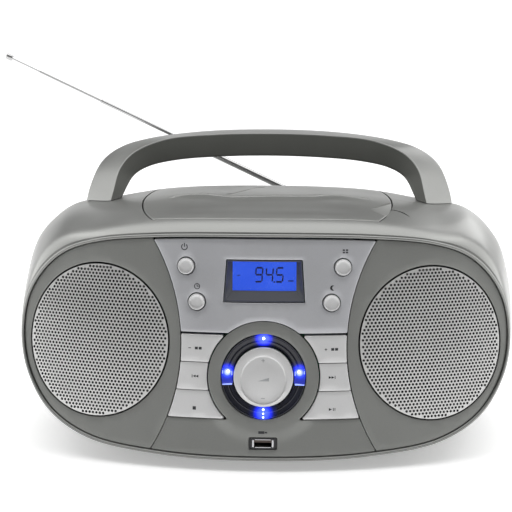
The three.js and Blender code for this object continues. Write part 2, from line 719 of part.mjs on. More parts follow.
function usbTongue() {
  const { half, low, high, front, length } = USB_TONGUE;
  const y = faceY(0, USB_Z) + front;
  return block([-half, half], [y, y + length], [USB_Z + low, USB_Z + high]);
}

// ---- Disc compartment ----
function cdDeck() {
  const below = LID_OPENING.from;
  const above = CASE_TOP + 5;
  const { half, from, to } = PICKUP_SLOT;
  const body = prismZ(lidOutline(-0.3, LID_OPENING.back), DECK_BOTTOM, CASE_TOP);
  let made = body.intersect(caseSolid(LID_SKIN + 2 * GAP));
  made = made.subtract(prismZ(lidOutline(-DECK_EDGE, DECK_FRONT), DECK_TOP, above));
  made = made.subtract(block([-BIG, BIG], [DECK_REAR_STEP.y, BIG], [DECK_TOP + DECK_REAR_STEP.rise, BIG]));
  made = made.subtract(prismZ(circle(0, SPINDLE_Y, WELL_R, 48), WELL_FLOOR, above));
  made = made.subtract(prismZ(lidOutline(-3, 50), below, WELL_FLOOR - DECK_SKIN));
  made = made.subtract(rod(HUB_HOLE_R, [0, SPINDLE_Y, below], [0, SPINDLE_Y, DECK_TOP], 28));
  return made.subtract(block([-half, half], [SPINDLE_Y + from, SPINDLE_Y + to], [below, DECK_TOP]));
}

function cdLid() {
  const skin = outerCase.subtract(caseSolid(LID_SKIN));
  const panel = skin.intersect(prismZ(lidOutline(), LID_SKIN_LOW, LID_OPENING.to));
  const { y, z } = LID_AXIS;
  const { reach, below, above } = LID_WEB;
  const half = LID_KNUCKLE_HALF;
  const barrel = rod(LID_KNUCKLE_R, [-half, y, z], [half, y, z], 20);
  const web = block([-half, half], [y - reach, y], [z - below, z + above]);
  const bore = rod(LID_BORE_R, [-half - 2, y, z], [half + 2, y, z], 16);
  return join(panel, barrel, web).subtract(bore).subtract(lidNotch());
}

function lidNotch() {
  const points = NOTCH_CORNERS.flatMap(([x, y, z]) => [
    new THREE.Vector3(x, y, z),
    new THREE.Vector3(x, y, z + NOTCH_HEIGHT),
  ]);
  return solidOf(new ConvexGeometry(points));
}

function thumbScoop() {
  const bowl = new THREE.SphereGeometry(1, 16, 10);
  bowl.scale(...SCOOP.size);
  bowl.translate(...SCOOP.centre);
  return solidOf(bowl);
}

function hingePin() {
  const { y, z } = LID_AXIS;
  return rod(LID_PIN_R, [-LID_KNUCKLE_HALF - 1, y, z], [LID_KNUCKLE_HALF + 1, y, z], 16);
}

function alongSpindle(profile) {
  return turned(profile, [0, SPINDLE_Y, 0], [0, 0, 1], 28);
}

function laserPickup() {
  const y = [PICKUP_START, PICKUP_START + PICKUP_LENGTH];
  const middle = (y[0] + y[1]) / 2;
  const carriage = block([-CARRIAGE.half, CARRIAGE.half], y, [CARRIAGE.low, CARRIAGE.high]);
  const head = block([-PICKUP_HEAD.half, PICKUP_HEAD.half], y, [PICKUP_HEAD.low, PICKUP_HEAD.high]);
  const lens = rod(LENS.radius, [0, middle, LENS.low], [0, middle, LENS.high], 20);
  let made = join(carriage, head, lens);
  for (const x of [-RAIL_X, RAIL_X]) {
    made = made.subtract(rod(CARRIAGE.bore, [x, y[0] - 5, RAIL_Z], [x, y[1] + 5, RAIL_Z], 16));
  }
  return made;
}

function guideRail(side) {
  const [front, back] = RAIL_Y.map((y) => [side * RAIL_X, y, RAIL_Z]);
  return rod(RAIL_R, front, back, 14);
}

// ---- Inside the case ----
function mainBoard() {
  const blocks = BOARD_BLOCKS.map((ranges) => block(...ranges));
  const cans = BOARD_CANS.map(([radius, x, y, low, high]) => rod(radius, [x, y, low], [x, y, high], 20));
  return join(block(...MAIN_BOARD), ...blocks, ...cans);
}

function powerTransformer() {
  return block(...TRANSFORMER_CORE).add(block(...TRANSFORMER_WINDING));
}

function batteryTray() {
  const { half, low, high, depth } = BATTERY;
  const back = CASE_BACK - WALL - 1;
  const front = back - depth;
  const w = TRAY_WALL;
  const outer = block([-half, half], [front, back], [low, high]);
  const cavity = block([-half + w, half - w], [front + w, back + 5], [low + w, high - w]);
  const middle = (low + high) / 2;
  const ribHeights = [middle - TRAY_RIB.half, middle + TRAY_RIB.half];
  const rib = block([-half + w / 2, half - w / 2], [front + w / 2, back - TRAY_RIB.set], ribHeights);
  return outer.subtract(cavity).add(rib);
}

function batteryDoor() {
  const { half, from, to, depth } = DOOR_GRIP;
  const plate = prismY(doorOutline(), CASE_BACK - DOOR_THICK, CASE_BACK);
  const heights = [BATTERY.high - from, BATTERY.high - to];
  return plate.subtract(block([-half, half], [CASE_BACK - depth, CASE_BACK + depth], heights));
}

function acInlet() {
  const { left, right, low, high, depth, sunk } = INLET;
  const { side, edge, depth: recessDepth } = INLET_RECESS;
  const body = prismY(inletOutline(), CASE_BACK - depth, CASE_BACK - sunk);
  const recess = block(
    [left + side, right - side],
    [CASE_BACK - recessDepth, CASE_BACK + 2],
    [low + edge, high - edge],
  );
  const { radius, half, from, to } = INLET_PIN;
  const middle = (left + right) / 2;
  const z = (low + high) / 2;
  const pins = [middle - half, middle + half].map((x) => {
    return rod(radius, [x, CASE_BACK - from, z], [x, CASE_BACK - to, z], 14);
  });
  return join(body.subtract(recess), ...pins);
}

function rearScrew([x, z]) {
  const { sunk, shankR, shankFrom, shankTo, slot: [halfWidth, halfLength, depth] } = SCREW;
  const head = turned(SCREW_HEAD, [x, CASE_BACK - sunk, z], [0, 1, 0], 20);
  const shank = rod(shankR, [x, CASE_BACK - shankFrom, z], [x, CASE_BACK - shankTo, z], 12);
  const slot = block(
    [x - halfWidth, x + halfWidth],
    [CASE_BACK - depth, CASE_BACK + 2],
    [z - halfLength, z + halfLength],
  );
  return head.add(shank).subtract(slot);
}

function foot([x, y]) {
  return rod(FOOT_R, [x, y, 0], [x, y, FOOT_HEIGHT], 28).subtract(clearOfCase);
}

// ---- Aerial ----
const aerialAlong = new THREE.Vector3(-Math.cos(AERIAL.slope), 0, Math.sin(AERIAL.slope));

function onAerial(distance) {
  return aerialAlong.clone().multiplyScalar(distance).add(new THREE.Vector3(AERIAL.x, AERIAL.y, AERIAL.z));
}

function aerialSwivel() {
  const { x, y, z } = AERIAL;
  const { bottom, above, slotBelow, pinInset } = AERIAL_POST;
  const post = rod(AERIAL_FORK_R, [x, y, bottom], [x, y, z + above], 24);
  const slotHalf = AERIAL_TONGUE / 2 + GAP;
  const slot = block([x - 10, x + 10], [y - slotHalf, y + slotHalf], [z - slotBelow, z + 10]);
  const pinHalf = AERIAL_FORK_R - pinInset;
  const pin = rod(AERIAL_EYE.pin, [x, y - pinHalf, z], [x, y + pinHalf, z], 14);
  return post.subtract(slot).add(pin);
}

function acrossAerial(radius, half, segments) {
  const { x, y, z } = AERIAL;
  return rod(radius, [x, y - half, z], [x, y + half, z], segments);
}

// The flat end that turns on the pin of the swivel, and the plug that holds it in the first stage.
function aerialRoot() {
  const length = AERIAL_STAGES[0].start + 2;
  const tongue = new THREE.BoxGeometry(length, AERIAL_TONGUE, AERIAL_EYE.width);
  tongue.translate(-length / 2, 0, 0);
  tongue.rotateY(AERIAL.slope);
  tongue.translate(AERIAL.x, AERIAL.y, AERIAL.z);
  const { radius, before, after } = AERIAL_PLUG;
  const { start } = AERIAL_STAGES[0];
  const plug = rod(radius, onAerial(start - before).toArray(), onAerial(start + after).toArray(), 12);
  return join(solidOf(tongue), acrossAerial(AERIAL_EYE.radius, AERIAL_TONGUE / 2, 20), plug);
}

function aerialStage(index) {
  const { start, end, outer, inner } = AERIAL_STAGES[index];
  const along = aerialAlong.toArray();
  const profile = inner > 0 ? ringProfile(inner, outer, 0, end - start) : disc(outer, 0, end - start);
  const tube = turned(profile, onAerial(start).toArray(), along, 12);
  if (index === 0) {
    return tube.add(aerialRoot()).subtract(acrossAerial(AERIAL_EYE.bore, AERIAL_TONGUE + 1, 16));
  }
  if (index === AERIAL_STAGES.length - 1) {
    return tube.add(turned(AERIAL_KNOB, onAerial(end).toArray(), along, 16));
  }
  return tube;
}

// ---- Handle ----
function handleEdge(half, shift = [0, 0, 0]) {
  const right = half.map(([x, y, z]) => new THREE.Vector3(x + shift[0], y + shift[1], z + shift[2]));
  right[right.length - 1].x = 0;
  const left = right.slice(0, -1).reverse().map((p) => new THREE.Vector3(-p.x, p.y, p.z));
  return new THREE.CatmullRomCurve3([...right, ...left], false, "centripetal").getPoints(HANDLE_STATIONS);
}

function mixPoints(a, b, share) {
  return a.map((p, i) => p.clone().lerp(b[i], share));
}

function handleShells() {
  const ridge = handleEdge(HANDLE_RIDGE);
  const outer = handleEdge(HANDLE_OUTER);
  const back = handleEdge(HANDLE_OUTER, HANDLE_BACK_SHIFT);
  const inner = handleEdge(HANDLE_INNER);
  const under = handleEdge(HANDLE_INNER, HANDLE_UNDER_SHIFT);
  const seamFront = mixPoints(ridge, inner, HANDLE_SEAM.front);
  const seamBack = mixPoints(back, under, HANDLE_SEAM.back);
  const gapFront = mixPoints(ridge, inner, HANDLE_SEAM.front + HANDLE_SEAM_GAP.front);
  const gapBack = mixPoints(back, under, HANDLE_SEAM.back + HANDLE_SEAM_GAP.back);
  const seamMiddle = mixPoints(gapFront, gapBack, 0.5);
  const ringAt = (edges) => ridge.map((_, i) => edges.map((edge) => edge[i]));
  const bar = loft(ringAt([ridge, outer, back, under, inner]));
  const top = loft(ringAt([ridge, outer, back, seamBack, seamFront]));
  // The same shape a little larger, so that the cut for the gap passes right through the bar.
  const larger = [ridge, outer, back, gapBack, gapFront].map((edge) => mixPoints(seamMiddle, edge, 1.2));
  const topAndGap = loft(ringAt(larger));
  return [top, bar.subtract(topAndGap)].map((solid) => solid.subtract(clearOfCase));
}

// ---- Materials and assembly ----
const FINISHES = {
  titanPaint: { color: 0x9c9c96, roughness: 0.42, metalness: 0.35 },
  silverPaint: { color: 0xa9adb2, roughness: 0.36, metalness: 0.45 },
  keySilver: { color: 0xc6c8c8, roughness: 0.38, metalness: 0.3 },
  gripPaint: { color: 0x5b5c55, roughness: 0.5, metalness: 0.2 },
  grille: { color: 0xd2d3d2, roughness: 0.35, metalness: 0.8 },
  glossBlack: { color: 0x0c0d12, roughness: 0.08, metalness: 0 },
  matteBlack: { color: 0x1b1b1c, roughness: 0.7, metalness: 0 },
  blueScreen: { color: 0x2f5be6, roughness: 0.25, metalness: 0, emissive: 0x2450d8 },
  clearPlastic: { color: 0xd8e4f4, roughness: 0.05, metalness: 0, transparent: true, opacity: 0.4 },
  chrome: { color: 0xdadcdd, roughness: 0.12, metalness: 1 },
  steel: { color: 0xa9abad, roughness: 0.35, metalness: 0.9 },
  paper: { color: 0x2a2a2a, roughness: 0.9, metalness: 0 },
  circuitGreen: { color: 0x2c6a3f, roughness: 0.6, metalness: 0 },
  copper: { color: 0xa86a3a, roughness: 0.45, metalness: 0.6 },
  rubber: { color: 0x232323, roughness: 0.9, metalness: 0 },
};

const player = new THREE.Group();

function place(name, solid, finish) {
  const mesh = new THREE.Mesh(geometryOf(solid), new THREE.MeshStandardMaterial(FINISHES[finish]));
  mesh.name = name;
  player.add(mesh);
}

place("front_housing", frontHousing(), "titanPaint");
place("rear_housing", rearHousing(), "titanPaint");
place("upper_fascia", upperFascia(), "silverPaint");
place("lower_fascia", lowerFascia(), "titanPaint");
place("light_ring", lightRing(), "glossBlack");
place("volume_rocker", volumeRocker(), "keySilver");
place("display_bezel", displayBezel(), "silverPaint");
place("display_window", displayWindow(), "clearPlastic");
place("display_module", displayModule(), "blueScreen");
place("key_board", keyBoard(), "circuitGreen");

for (const [name, centre] of Object.entries(ROUND_BUTTONS)) {
  place(name, roundButton(centre), "keySilver");
}

const KEY_NAMES = {
  [-1]: ["preset_down_button", "skip_back_button", "stop_button"],
  1: ["preset_up_button", "skip_forward_button", "play_pause_button"],
};
for (const side of [-1, 1]) {
  KEY_NAMES[side].forEach((name, row) => place(name, keyButton(side, row), "keySilver"));
  const hand = side < 0 ? "left" : "right";
  place(`front_panel_${hand}`, frontPanel(side), "titanPaint");
  place(`speaker_grille_${hand}`, speakerGrille(side), "grille");
  place(`speaker_frame_${hand}`, alongSpeaker(side, FRAME_PROFILE), "steel");
  place(`speaker_cone_${hand}`, alongSpeaker(side, CONE_PROFILE), "paper");
  place(`speaker_magnet_${hand}`, alongSpeaker(side, MAGNET_PROFILE), "steel");
  place(`guide_rail_${hand}`, guideRail(side), "chrome");
  place(`rear_screw_${hand}`, rearScrew(SCREW_PLACES[hand]), "steel");
}

place("usb_shell", usbShell(), "steel");
place("usb_tongue", usbTongue(), "matteBlack");
place("cd_deck", cdDeck(), "matteBlack");
place("cd_lid", cdLid(), "titanPaint");
place("lid_hinge_pin", hingePin(), "steel");
place("spindle_hub", alongSpindle(HUB_SHAFT).add(alongSpindle(HUB_TABLE)), "matteBlack");
place("spindle_motor", alongSpindle(MOTOR), "steel");
place("laser_pickup", laserPickup(), "matteBlack");
place("main_board", mainBoard(), "circuitGreen");
place("power_transformer", powerTransformer(), "copper");
place("battery_tray", batteryTray(), "matteBlack");
place("battery_door", batteryDoor(), "titanPaint");
place("ac_inlet", acInlet(), "matteBlack");
for (const [where, centre] of Object.entries(FOOT_PLACES)) {
  place(`foot_${where}`, foot(centre), "rubber");
}

place("aerial_swivel", aerialSwivel(), "matteBlack");
AERIAL_STAGES.forEach((_, index) => place(`aerial_stage_${index + 1}`, aerialStage(index), "chrome"));

const [handleTop, handleGrip] = handleShells();
place("handle_top_shell", handleTop, "titanPaint");
place("handle_grip_shell", handleGrip, "gripPaint");

const bounds = new THREE.Box3().setFromObject(player);
const middle = bounds.getCenter(new THREE.Vector3());
player.position.set(-middle.x, -middle.y, -bounds.min.z);

export default player;
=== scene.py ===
"""The looks of a portable CD and radio player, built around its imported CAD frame.

Shapes are worked out in millimetres from the middle of the case (x = 0), its widest section (y = 0)
and the surface that it stands on (z = 0). metres() carries them into the frame.
"""

import math

import bmesh
import bpy
import numpy as np
from mathutils import Matrix, Vector
from mathutils.geometry import delaunay_2d_cdt


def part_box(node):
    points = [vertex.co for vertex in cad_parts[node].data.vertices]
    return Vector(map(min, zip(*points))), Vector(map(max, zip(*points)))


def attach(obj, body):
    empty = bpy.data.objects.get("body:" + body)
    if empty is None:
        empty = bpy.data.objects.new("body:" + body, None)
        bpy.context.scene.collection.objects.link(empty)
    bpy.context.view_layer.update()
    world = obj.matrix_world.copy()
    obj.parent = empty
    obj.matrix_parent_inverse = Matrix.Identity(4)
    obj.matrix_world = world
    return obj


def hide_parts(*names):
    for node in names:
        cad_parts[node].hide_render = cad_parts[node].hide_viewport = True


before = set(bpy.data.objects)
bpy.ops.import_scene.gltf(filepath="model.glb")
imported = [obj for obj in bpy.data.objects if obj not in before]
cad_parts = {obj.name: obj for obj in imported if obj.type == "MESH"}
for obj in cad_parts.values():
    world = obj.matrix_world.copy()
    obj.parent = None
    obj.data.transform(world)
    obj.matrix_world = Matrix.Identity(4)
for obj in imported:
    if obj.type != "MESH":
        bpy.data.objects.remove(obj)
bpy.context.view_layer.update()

# ---- The design's driving dimensions, as in the CAD model ----
GAP = 0.35
WALL = 2.8
CASE_BACK = 105
REAR_TAPER_START = 15
REAR_WIDTH_SHARE = 0.78
REAR_HEIGHT_SHARE = 0.589
REAR_LIFT = 9
REAR_ROUNDNESS = 2.6  # 2 would be an ellipse
CASE_TOP = 146
CASE_BOTTOM = 4
PARTING_Y = -3
FACE_Y = -105
FACE_CURVE = 1.95e-3
FACE_LEAN_ANGLE = math.radians(8)
FACE_LEAN = math.tan(FACE_LEAN_ANGLE)
FACE_LEAN_Z = 37
LIP_PROUD = 1.5
LIP_WIDTH = 2
PANEL_THICK = 2.6
RIM_OUTLINE = [
    (0, 132.8), (61.5, 131.3), (97, 127), (117, 119.8), (131, 107.5), (140.6, 90),
    (143.4, 67.6), (139.1, 46.3), (126, 26.3), (103.2, 13.4), (60.5, 7.5), (0, 6),
]
WIDE_OUTLINE = [
    (0, CASE_TOP), (62, 144), (100, 137.8), (124.2, 133.2), (140, 118.6), (148.4, 93),
    (150.8, 66), (146.6, 38), (131.8, 16), (106.6, 4.9), (62, 4), (0, CASE_BOTTOM),
]
COLUMN_WAIST, COLUMN_ARC_R, COLUMN_ARC_Z = 47, 113, 70
DIAL_Z = 53
BEZEL_R, RING_R, ROCKER_R = 31.2, 23.8, 16.8
BEZEL_RISE = 0.45
FASCIA_BOTTOM = 77.2
BUTTON_ROWS = [76.2, 60.5, 44.8, 29.1]
ROUND_BUTTON_R = 4.8
ROUND_BUTTONS = {
    "function_button": (-44.3, 114),
    "clock_button": (-38, 94.2),
    "mode_button": (44.3, 114),
    "sleep_button": (38, 94.2),
}
SCREEN = {"half": 18, "low": 100.4, "high": 117.2}
BEZEL_WINDOW = {"top": 21.2, "bottom": 22.8, "low": 94.6, "high": 118}
COLUMN_GAP = 0.15  # from the middle column's edge to each of its neighbours
COLUMN_MARGIN = 0.4  # more room where the rim's outline meets the column's edge
PANEL_ROUND = 0.45  # radius of the panels' front edges
FASCIA_PROUD, KEY_PROUD = 0.5, 0.85
FASCIA_DROP = 0.55  # a ledge shows above the upper fascia
SPEAKER_X, SPEAKER_Z = 96.4, 69.4
SPEAKER_HOLE_R, GRILLE_R = 44.5, 43.6
USB_Z = 15.6
USB_HOLE = (16, 7)
LID_FRONT, LID_FRONT_BOW, LID_BACK = -77.8, 8, 48
LID_ROOM_BACK = 54  # the opening reaches behind the lid, for its hinge
LID_AXIS = (50.6, 139.7)
LID_SKIN = 3
LID_KNUCKLE_R, LID_KNUCKLE_HALF = 2.5, 50
DECK_TOP, DECK_BOTTOM = 131, 112
WELL_FLOOR, WELL_R, SPINDLE_Y = 122, 61.5, -13
BATTERY = {"half": 66, "low": 19, "high": 66}
SCREW_PLACES = {"left": (-84, 60), "right": (84, 60)}
INLET = (82, 104, 24, 40)
FOOT_R = 8
FOOT_PLACES = {
    "front_left": (-66, -62),
    "front_right": (66, -62),
    "rear_left": (-74, 66),
    "rear_right": (74, 66),
}
AERIAL_PIVOT = np.array([40, 97, 121.8])
AERIAL_SLOPE = math.radians(25.2)
AERIAL_FORK_R = 4.6
AERIAL_TONGUE = 3
AERIAL_STAGES = [  # start and end along the aerial, outer and inner radius of each tube
    (8, 88, 2.1, 1.85), (60, 112, 1.65, 1.4), (106, 170, 1.2, 1), (160, 215, 0.8, 0.6), (188, 235, 0.45, 0),
]
HANDLE_RIDGE = [
    (100, -3, 127), (97, 11, 143), (93.5, 25, 157.5), (85.5, 34, 166.4), (66, 41, 174), (35, 44, 177),
    (0, 45, 177.8),
]
HANDLE_OUTER = [
    (117.4, 19, 123), (114.1, 34, 145), (107.3, 47, 160), (95.5, 55, 168.2), (78, 60, 173), (45, 64.5, 177.2),
    (0, 66, 178.8),
]
HANDLE_INNER = [
    (96, 3, 127), (90.3, 15, 142), (84.3, 26, 152.5), (75, 31.5, 157.5), (58, 35, 161), (33, 37, 163),
    (0, 38, 163.8),
]
HANDLE_BACK_SHIFT = (-3, 9, -3)
HANDLE_UNDER_SHIFT = (3, 25, 2)

# ---- Where the case is in the frame ----
MM = 0.001
front_low, front_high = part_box("front_housing")
PLACE = np.array([(front_low.x + front_high.x) / 2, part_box("rear_housing")[1].y - CASE_BACK * MM, 0.0])


def metres(points):
    return np.asarray(points, float) * MM + PLACE


def linked(name, data):
    """A new object in the scene."""
    made = bpy.data.objects.new(name, data)
    bpy.context.scene.collection.objects.link(made)
    return made


# ---- Camera: the photograph's viewing angle ----
CAMERA_PLACE = (20.9, -1050, 272)
CAMERA_TARGET = (-0.3, -92, 120.3)
CAMERA_ROLL = math.radians(0.33)
FOCAL_SHARE = 3.3625  # focal length against the width of the picture
CAMERA_SHIFT_X = -8 / 512
SENSOR_WIDTH = 36


def make_camera():
    data = bpy.data.cameras.new("camera")
    camera = linked("camera", data)
    place, target = (Vector(metres(p)) for p in (CAMERA_PLACE, CAMERA_TARGET))
    turn = (target - place).to_track_quat("-Z", "Y").to_matrix().to_4x4()
    camera.matrix_world = turn @ Matrix.Rotation(CAMERA_ROLL, 4, "Z")
    camera.location = place
    data.sensor_width = SENSOR_WIDTH
    data.lens = SENSOR_WIDTH * FOCAL_SHARE
    data.shift_x = CAMERA_SHIFT_X
    bpy.context.scene.camera = camera


make_camera()


# ---- Plane curves ----
def spline(points, steps, closed=False):
    """A centripetal Catmull-Rom curve through the points, in even steps of its parameter."""
    p = np.asarray(points, float)
    if closed:
        control = np.vstack([p[-1:], p, p[:2]])
        spans = len(p)
        t = np.arange(steps) * spans / steps
    else:
        control = np.vstack([[2 * p[0] - p[1]], p, [2 * p[-1] - p[-2]]])
        spans = len(p) - 1
        t = np.linspace(0, spans, steps)
    i = np.minimum(t.astype(int), spans - 1)
    w = (t - i)[:, None]
    p0, p1, p2, p3 = (control[i + k] for k in range(4))
    chords = (p1 - p0, p2 - p1, p3 - p2)
    d0, d1, d2 = (np.linalg.norm(chord, axis=1, keepdims=True) ** 0.5 for chord in chords)
    m1 = ((p1 - p0) / d0 - (p2 - p0) / (d0 + d1) + (p2 - p1) / d1) * d1
    m2 = ((p2 - p1) / d1 - (p3 - p1) / (d1 + d2) + (p3 - p2) / d2) * d1
    return p1 + w * m1 + w**2 * (3 * (p2 - p1) - 2 * m1 - m2) + w**3 * (2 * (p1 - p2) + m1 + m2)


def bezier(points, steps):
    """A Bezier curve of any order, without its last point."""
    t = np.arange(steps)[:, None] / steps
    n = len(points) - 1
    weights = [math.comb(n, k) * (1 - t) ** (n - k) * t**k for k in range(n + 1)]
    return sum(weight * np.asarray(p, float) for weight, p in zip(weights, points))


def ease(share):
    """A smooth step from 0 to 1."""
    share = np.clip(share, 0, 1)
    return share * share * (3 - 2 * share)


def arc(centre, radius, angles, squash=1.0):
    """The points of a circle at the given angles."""
    return np.stack([centre[0] + radius * np.cos(angles), centre[1] + radius * squash * np.sin(angles)], 1)


def circle(centre, radius, steps=96, squash=1.0):
    return arc(centre, radius, np.arange(steps) * 2 * math.pi / steps, squash)


def rectangle(x0, x1, z0, z1):
    return np.array([(x0, z0), (x1, z0), (x1, z1), (x0, z1)], float)


def area(loop):
    x, y = loop[:, 0], loop[:, 1]
    return 0.5 * np.sum(x * np.roll(y, -1) - y * np.roll(x, -1))


def turned_so(loop, left=True):
    loop = np.asarray(loop, float)
    return loop if (area(loop) > 0) == left else loop[::-1]


def inset(loop, distance):
    """The loop moved to its left by distance."""
    ahead = np.roll(loop, -1, 0) - loop
    ahead /= np.linalg.norm(ahead, axis=1, keepdims=True)
    normal = np.stack([-ahead[:, 1], ahead[:, 0]], 1)
    before = np.roll(normal, 1, 0)
    along = 1 + np.sum(normal * before, 1, keepdims=True)
    return loop + distance * (normal + before) / np.maximum(along, 0.35)


def filleted(loop, radius, steps=5, least=math.radians(22)):
    """The loop with each sharp corner rounded to the radius."""
    before, after = np.roll(loop, 1, 0) - loop, np.roll(loop, -1, 0) - loop
    lengths = np.linalg.norm(after, axis=1)
    cosine = np.sum(before * after, 1) / (np.roll(lengths, 1) * lengths)
    opening = np.arccos(np.clip(cosine, -1, 1))
    corners = np.flatnonzero(math.pi - opening > least)
    if not len(corners):
        return loop
    total = lengths.sum()
    along = np.concatenate([[0], np.cumsum(lengths)])[:-1]
    spans = (np.roll(along[corners], -1) - along[corners]) % total
    spans[spans == 0] = total
    reach = np.minimum(radius / np.tan(opening[corners] / 2), 0.45 * np.minimum(spans, np.roll(spans, 1)))
    def at(distance):
        wrapped = np.concatenate([along, [total]])
        closed = np.vstack([loop, loop[:1]])
        return np.array([np.interp(distance % total, wrapped, closed[:, k]) for k in (0, 1)])
    made = []
    for k, i in enumerate(corners):
        a, b, weight = at(along[i] - reach[k]), at(along[i] + reach[k]), math.sin(opening[i] / 2)
        for t in np.linspace(0, 1, steps + 1):
            shares = (1 - t) ** 2, 2 * weight * t * (1 - t), t * t
            made.append((shares[0] * a + shares[1] * loop[i] + shares[2] * b) / sum(shares))
        begin, end = reach[k] + 0.05, spans[k] - reach[(k + 1) % len(corners)] - 0.05
        offsets = (along - along[i]) % total
        run = np.flatnonzero((offsets > begin) & (offsets < end))
        made.extend(loop[run[np.argsort(offsets[run])]])
    return np.array(made)


def rounded(x0, x1, z0, z1, radius):
    """A rectangle with round corners."""
    return filleted(rectangle(x0, x1, z0, z1), radius)


def rounded_about(x, z, half_width, half_height, radius):
    return rounded(x - half_width, x + half_width, z - half_height, z + half_height, radius)


def resampled(loop, spacing):
    """Long sides of the loop cut into steps of about spacing."""
    made = []
    for a, b in zip(loop, np.roll(loop, -1, 0)):
        steps = max(1, round(np.linalg.norm(b - a) / spacing))
        made.extend(a + (b - a) * k / steps for k in range(steps))
    return np.array(made)


def inside(points, loop):
    x, y = points[:, 0][:, None], points[:, 1][:, None]
    ax, ay = loop[:, 0][None], loop[:, 1][None]
    bx, by = np.roll(loop[:, 0], -1)[None], np.roll(loop[:, 1], -1)[None]
    crosses = (ay > y) != (by > y)
    rise = np.where(by == ay, 1, by - ay)
    at = ax + (y - ay) / rise * (bx - ax)
    return np.sum(crosses & (x < at), 1) % 2 == 1


# ---- Meshes ----
def make(name, points, faces, sharp=32):
    """A smooth-shaded object in the frame, from points in millimetres."""
    mesh = bpy.data.meshes.new(name)
    mesh.from_pydata(metres(points).tolist(), [], [list(map(int, f)) for f in faces])
    work = bmesh.new()
    work.from_mesh(mesh)
    bmesh.ops.remove_doubles(work, verts=work.verts, dist=1e-7)
    bmesh.ops.recalc_face_normals(work, faces=work.faces)
    work.to_mesh(mesh)
    work.free()
    piece = linked(name, mesh)
    smooth(piece, sharp)
    return piece


def smooth(piece, sharp=32):
    piece.data.shade_smooth()
    piece.data.set_sharp_from_angle(angle=math.radians(sharp))


def combine(target, tool, operation="DIFFERENCE", sharp=32):
    """The closed body target, cut by or joined to the closed body tool, which is used up."""
    modifier = target.modifiers.new("combine", "BOOLEAN")
    modifier.operation = operation
    modifier.solver = "MANIFOLD"
    modifier.object = tool
    depsgraph = bpy.context.evaluated_depsgraph_get()
    made = bpy.data.meshes.new_from_object(target.evaluated_get(depsgraph))
    target.modifiers.clear()
    target.data = made
    bpy.data.objects.remove(tool)
    if not len(made.polygons):
        raise ValueError(f"{target.name}: nothing is left after a cut")
    smooth(target, sharp)
    return target


def joined(name, *pieces):
    """Separate closed bodies kept as one piece."""
    work = bmesh.new()
    for piece in pieces:
        work.from_mesh(piece.data)
        bpy.data.objects.remove(piece)
    mesh = bpy.data.meshes.new(name)
    work.to_mesh(mesh)
    work.free()
    made = linked(name, mesh)
    smooth(made)
    return made


def ring_faces(rings, count, closed=False):
    """Quads between rings of count points each."""
    i = np.arange(count)
    rows = range(rings if closed else rings - 1)
    made = []
    for r in rows:
        a, b = r * count, ((r + 1) % rings) * count
        made.append(np.stack([a + i, b + i, b + (i + 1) % count, a + (i + 1) % count], 1))
    return np.vstack(made)


def tube(name, rings, closed=False, sharp=32):
    """A skin through rings of equal length: a closed ring of rings, or one with a flat fan at each end."""
    rings = np.asarray(rings, float)
    amount, count = rings.shape[:2]
    points = rings.reshape(-1, 3)
    faces = ring_faces(amount, count, closed).tolist()
    if not closed:
        for first, ring in ((0, rings[0]), (len(points) - count, rings[-1])):
            middle = len(points)
            points = np.vstack([points, ring.mean(0)])
            faces += [[first + k, first + (k + 1) % count, middle] for k in range(count)]
    return make(name, points, faces, sharp)


def turned(name, profile, place=(0, 0, 0), axis=(0, 0, 1), steps=96, sharp=32):
    """A closed body of revolution. Its (radius, height) profile is a loop or starts and ends on the axis."""
    axis = Vector(axis).normalized()
    side = axis.orthogonal().normalized()
    across = axis.cross(side)
    angle = np.arange(steps) * 2 * math.pi / steps
    spoke = np.outer(np.cos(angle), side) + np.outer(np.sin(angle), across)
    rings = [np.asarray(place) + h * np.asarray(axis) + max(r, 0) * spoke for r, h in profile]
    loop = profile[0][0] > 0 and profile[-1][0] > 0
    return tube(name, rings, closed=loop, sharp=sharp)


def prism(name, outline, low, high, axis="y", sharp=32):
    """An outline carried along y, where it is given as (x, z), or along z, where it is (x, y)."""
    outline = np.asarray(outline, float)
    def at(h):
        level = np.full(len(outline), float(h))
        x, other = outline[:, 0], outline[:, 1]
        return np.stack([x, level, other] if axis == "y" else [x, other, level], 1)
    rings = np.vstack([at(low), at(high)])
    count = len(outline)
    faces = ring_faces(2, count).tolist() + [list(range(count)), list(range(2 * count - 1, count - 1, -1))]
    return make(name, rings, faces, sharp)


def block(name, xs, ys, zs):
    return prism(name, rectangle(*xs, *zs), *ys)


def rod(name, radius, start, end, steps=48):
    start, end = np.asarray(start, float), np.asarray(end, float)
    length = np.linalg.norm(end - start)
    return turned(name, [(0, 0), (radius, 0), (radius, length), (0, length)], start, end - start, steps)


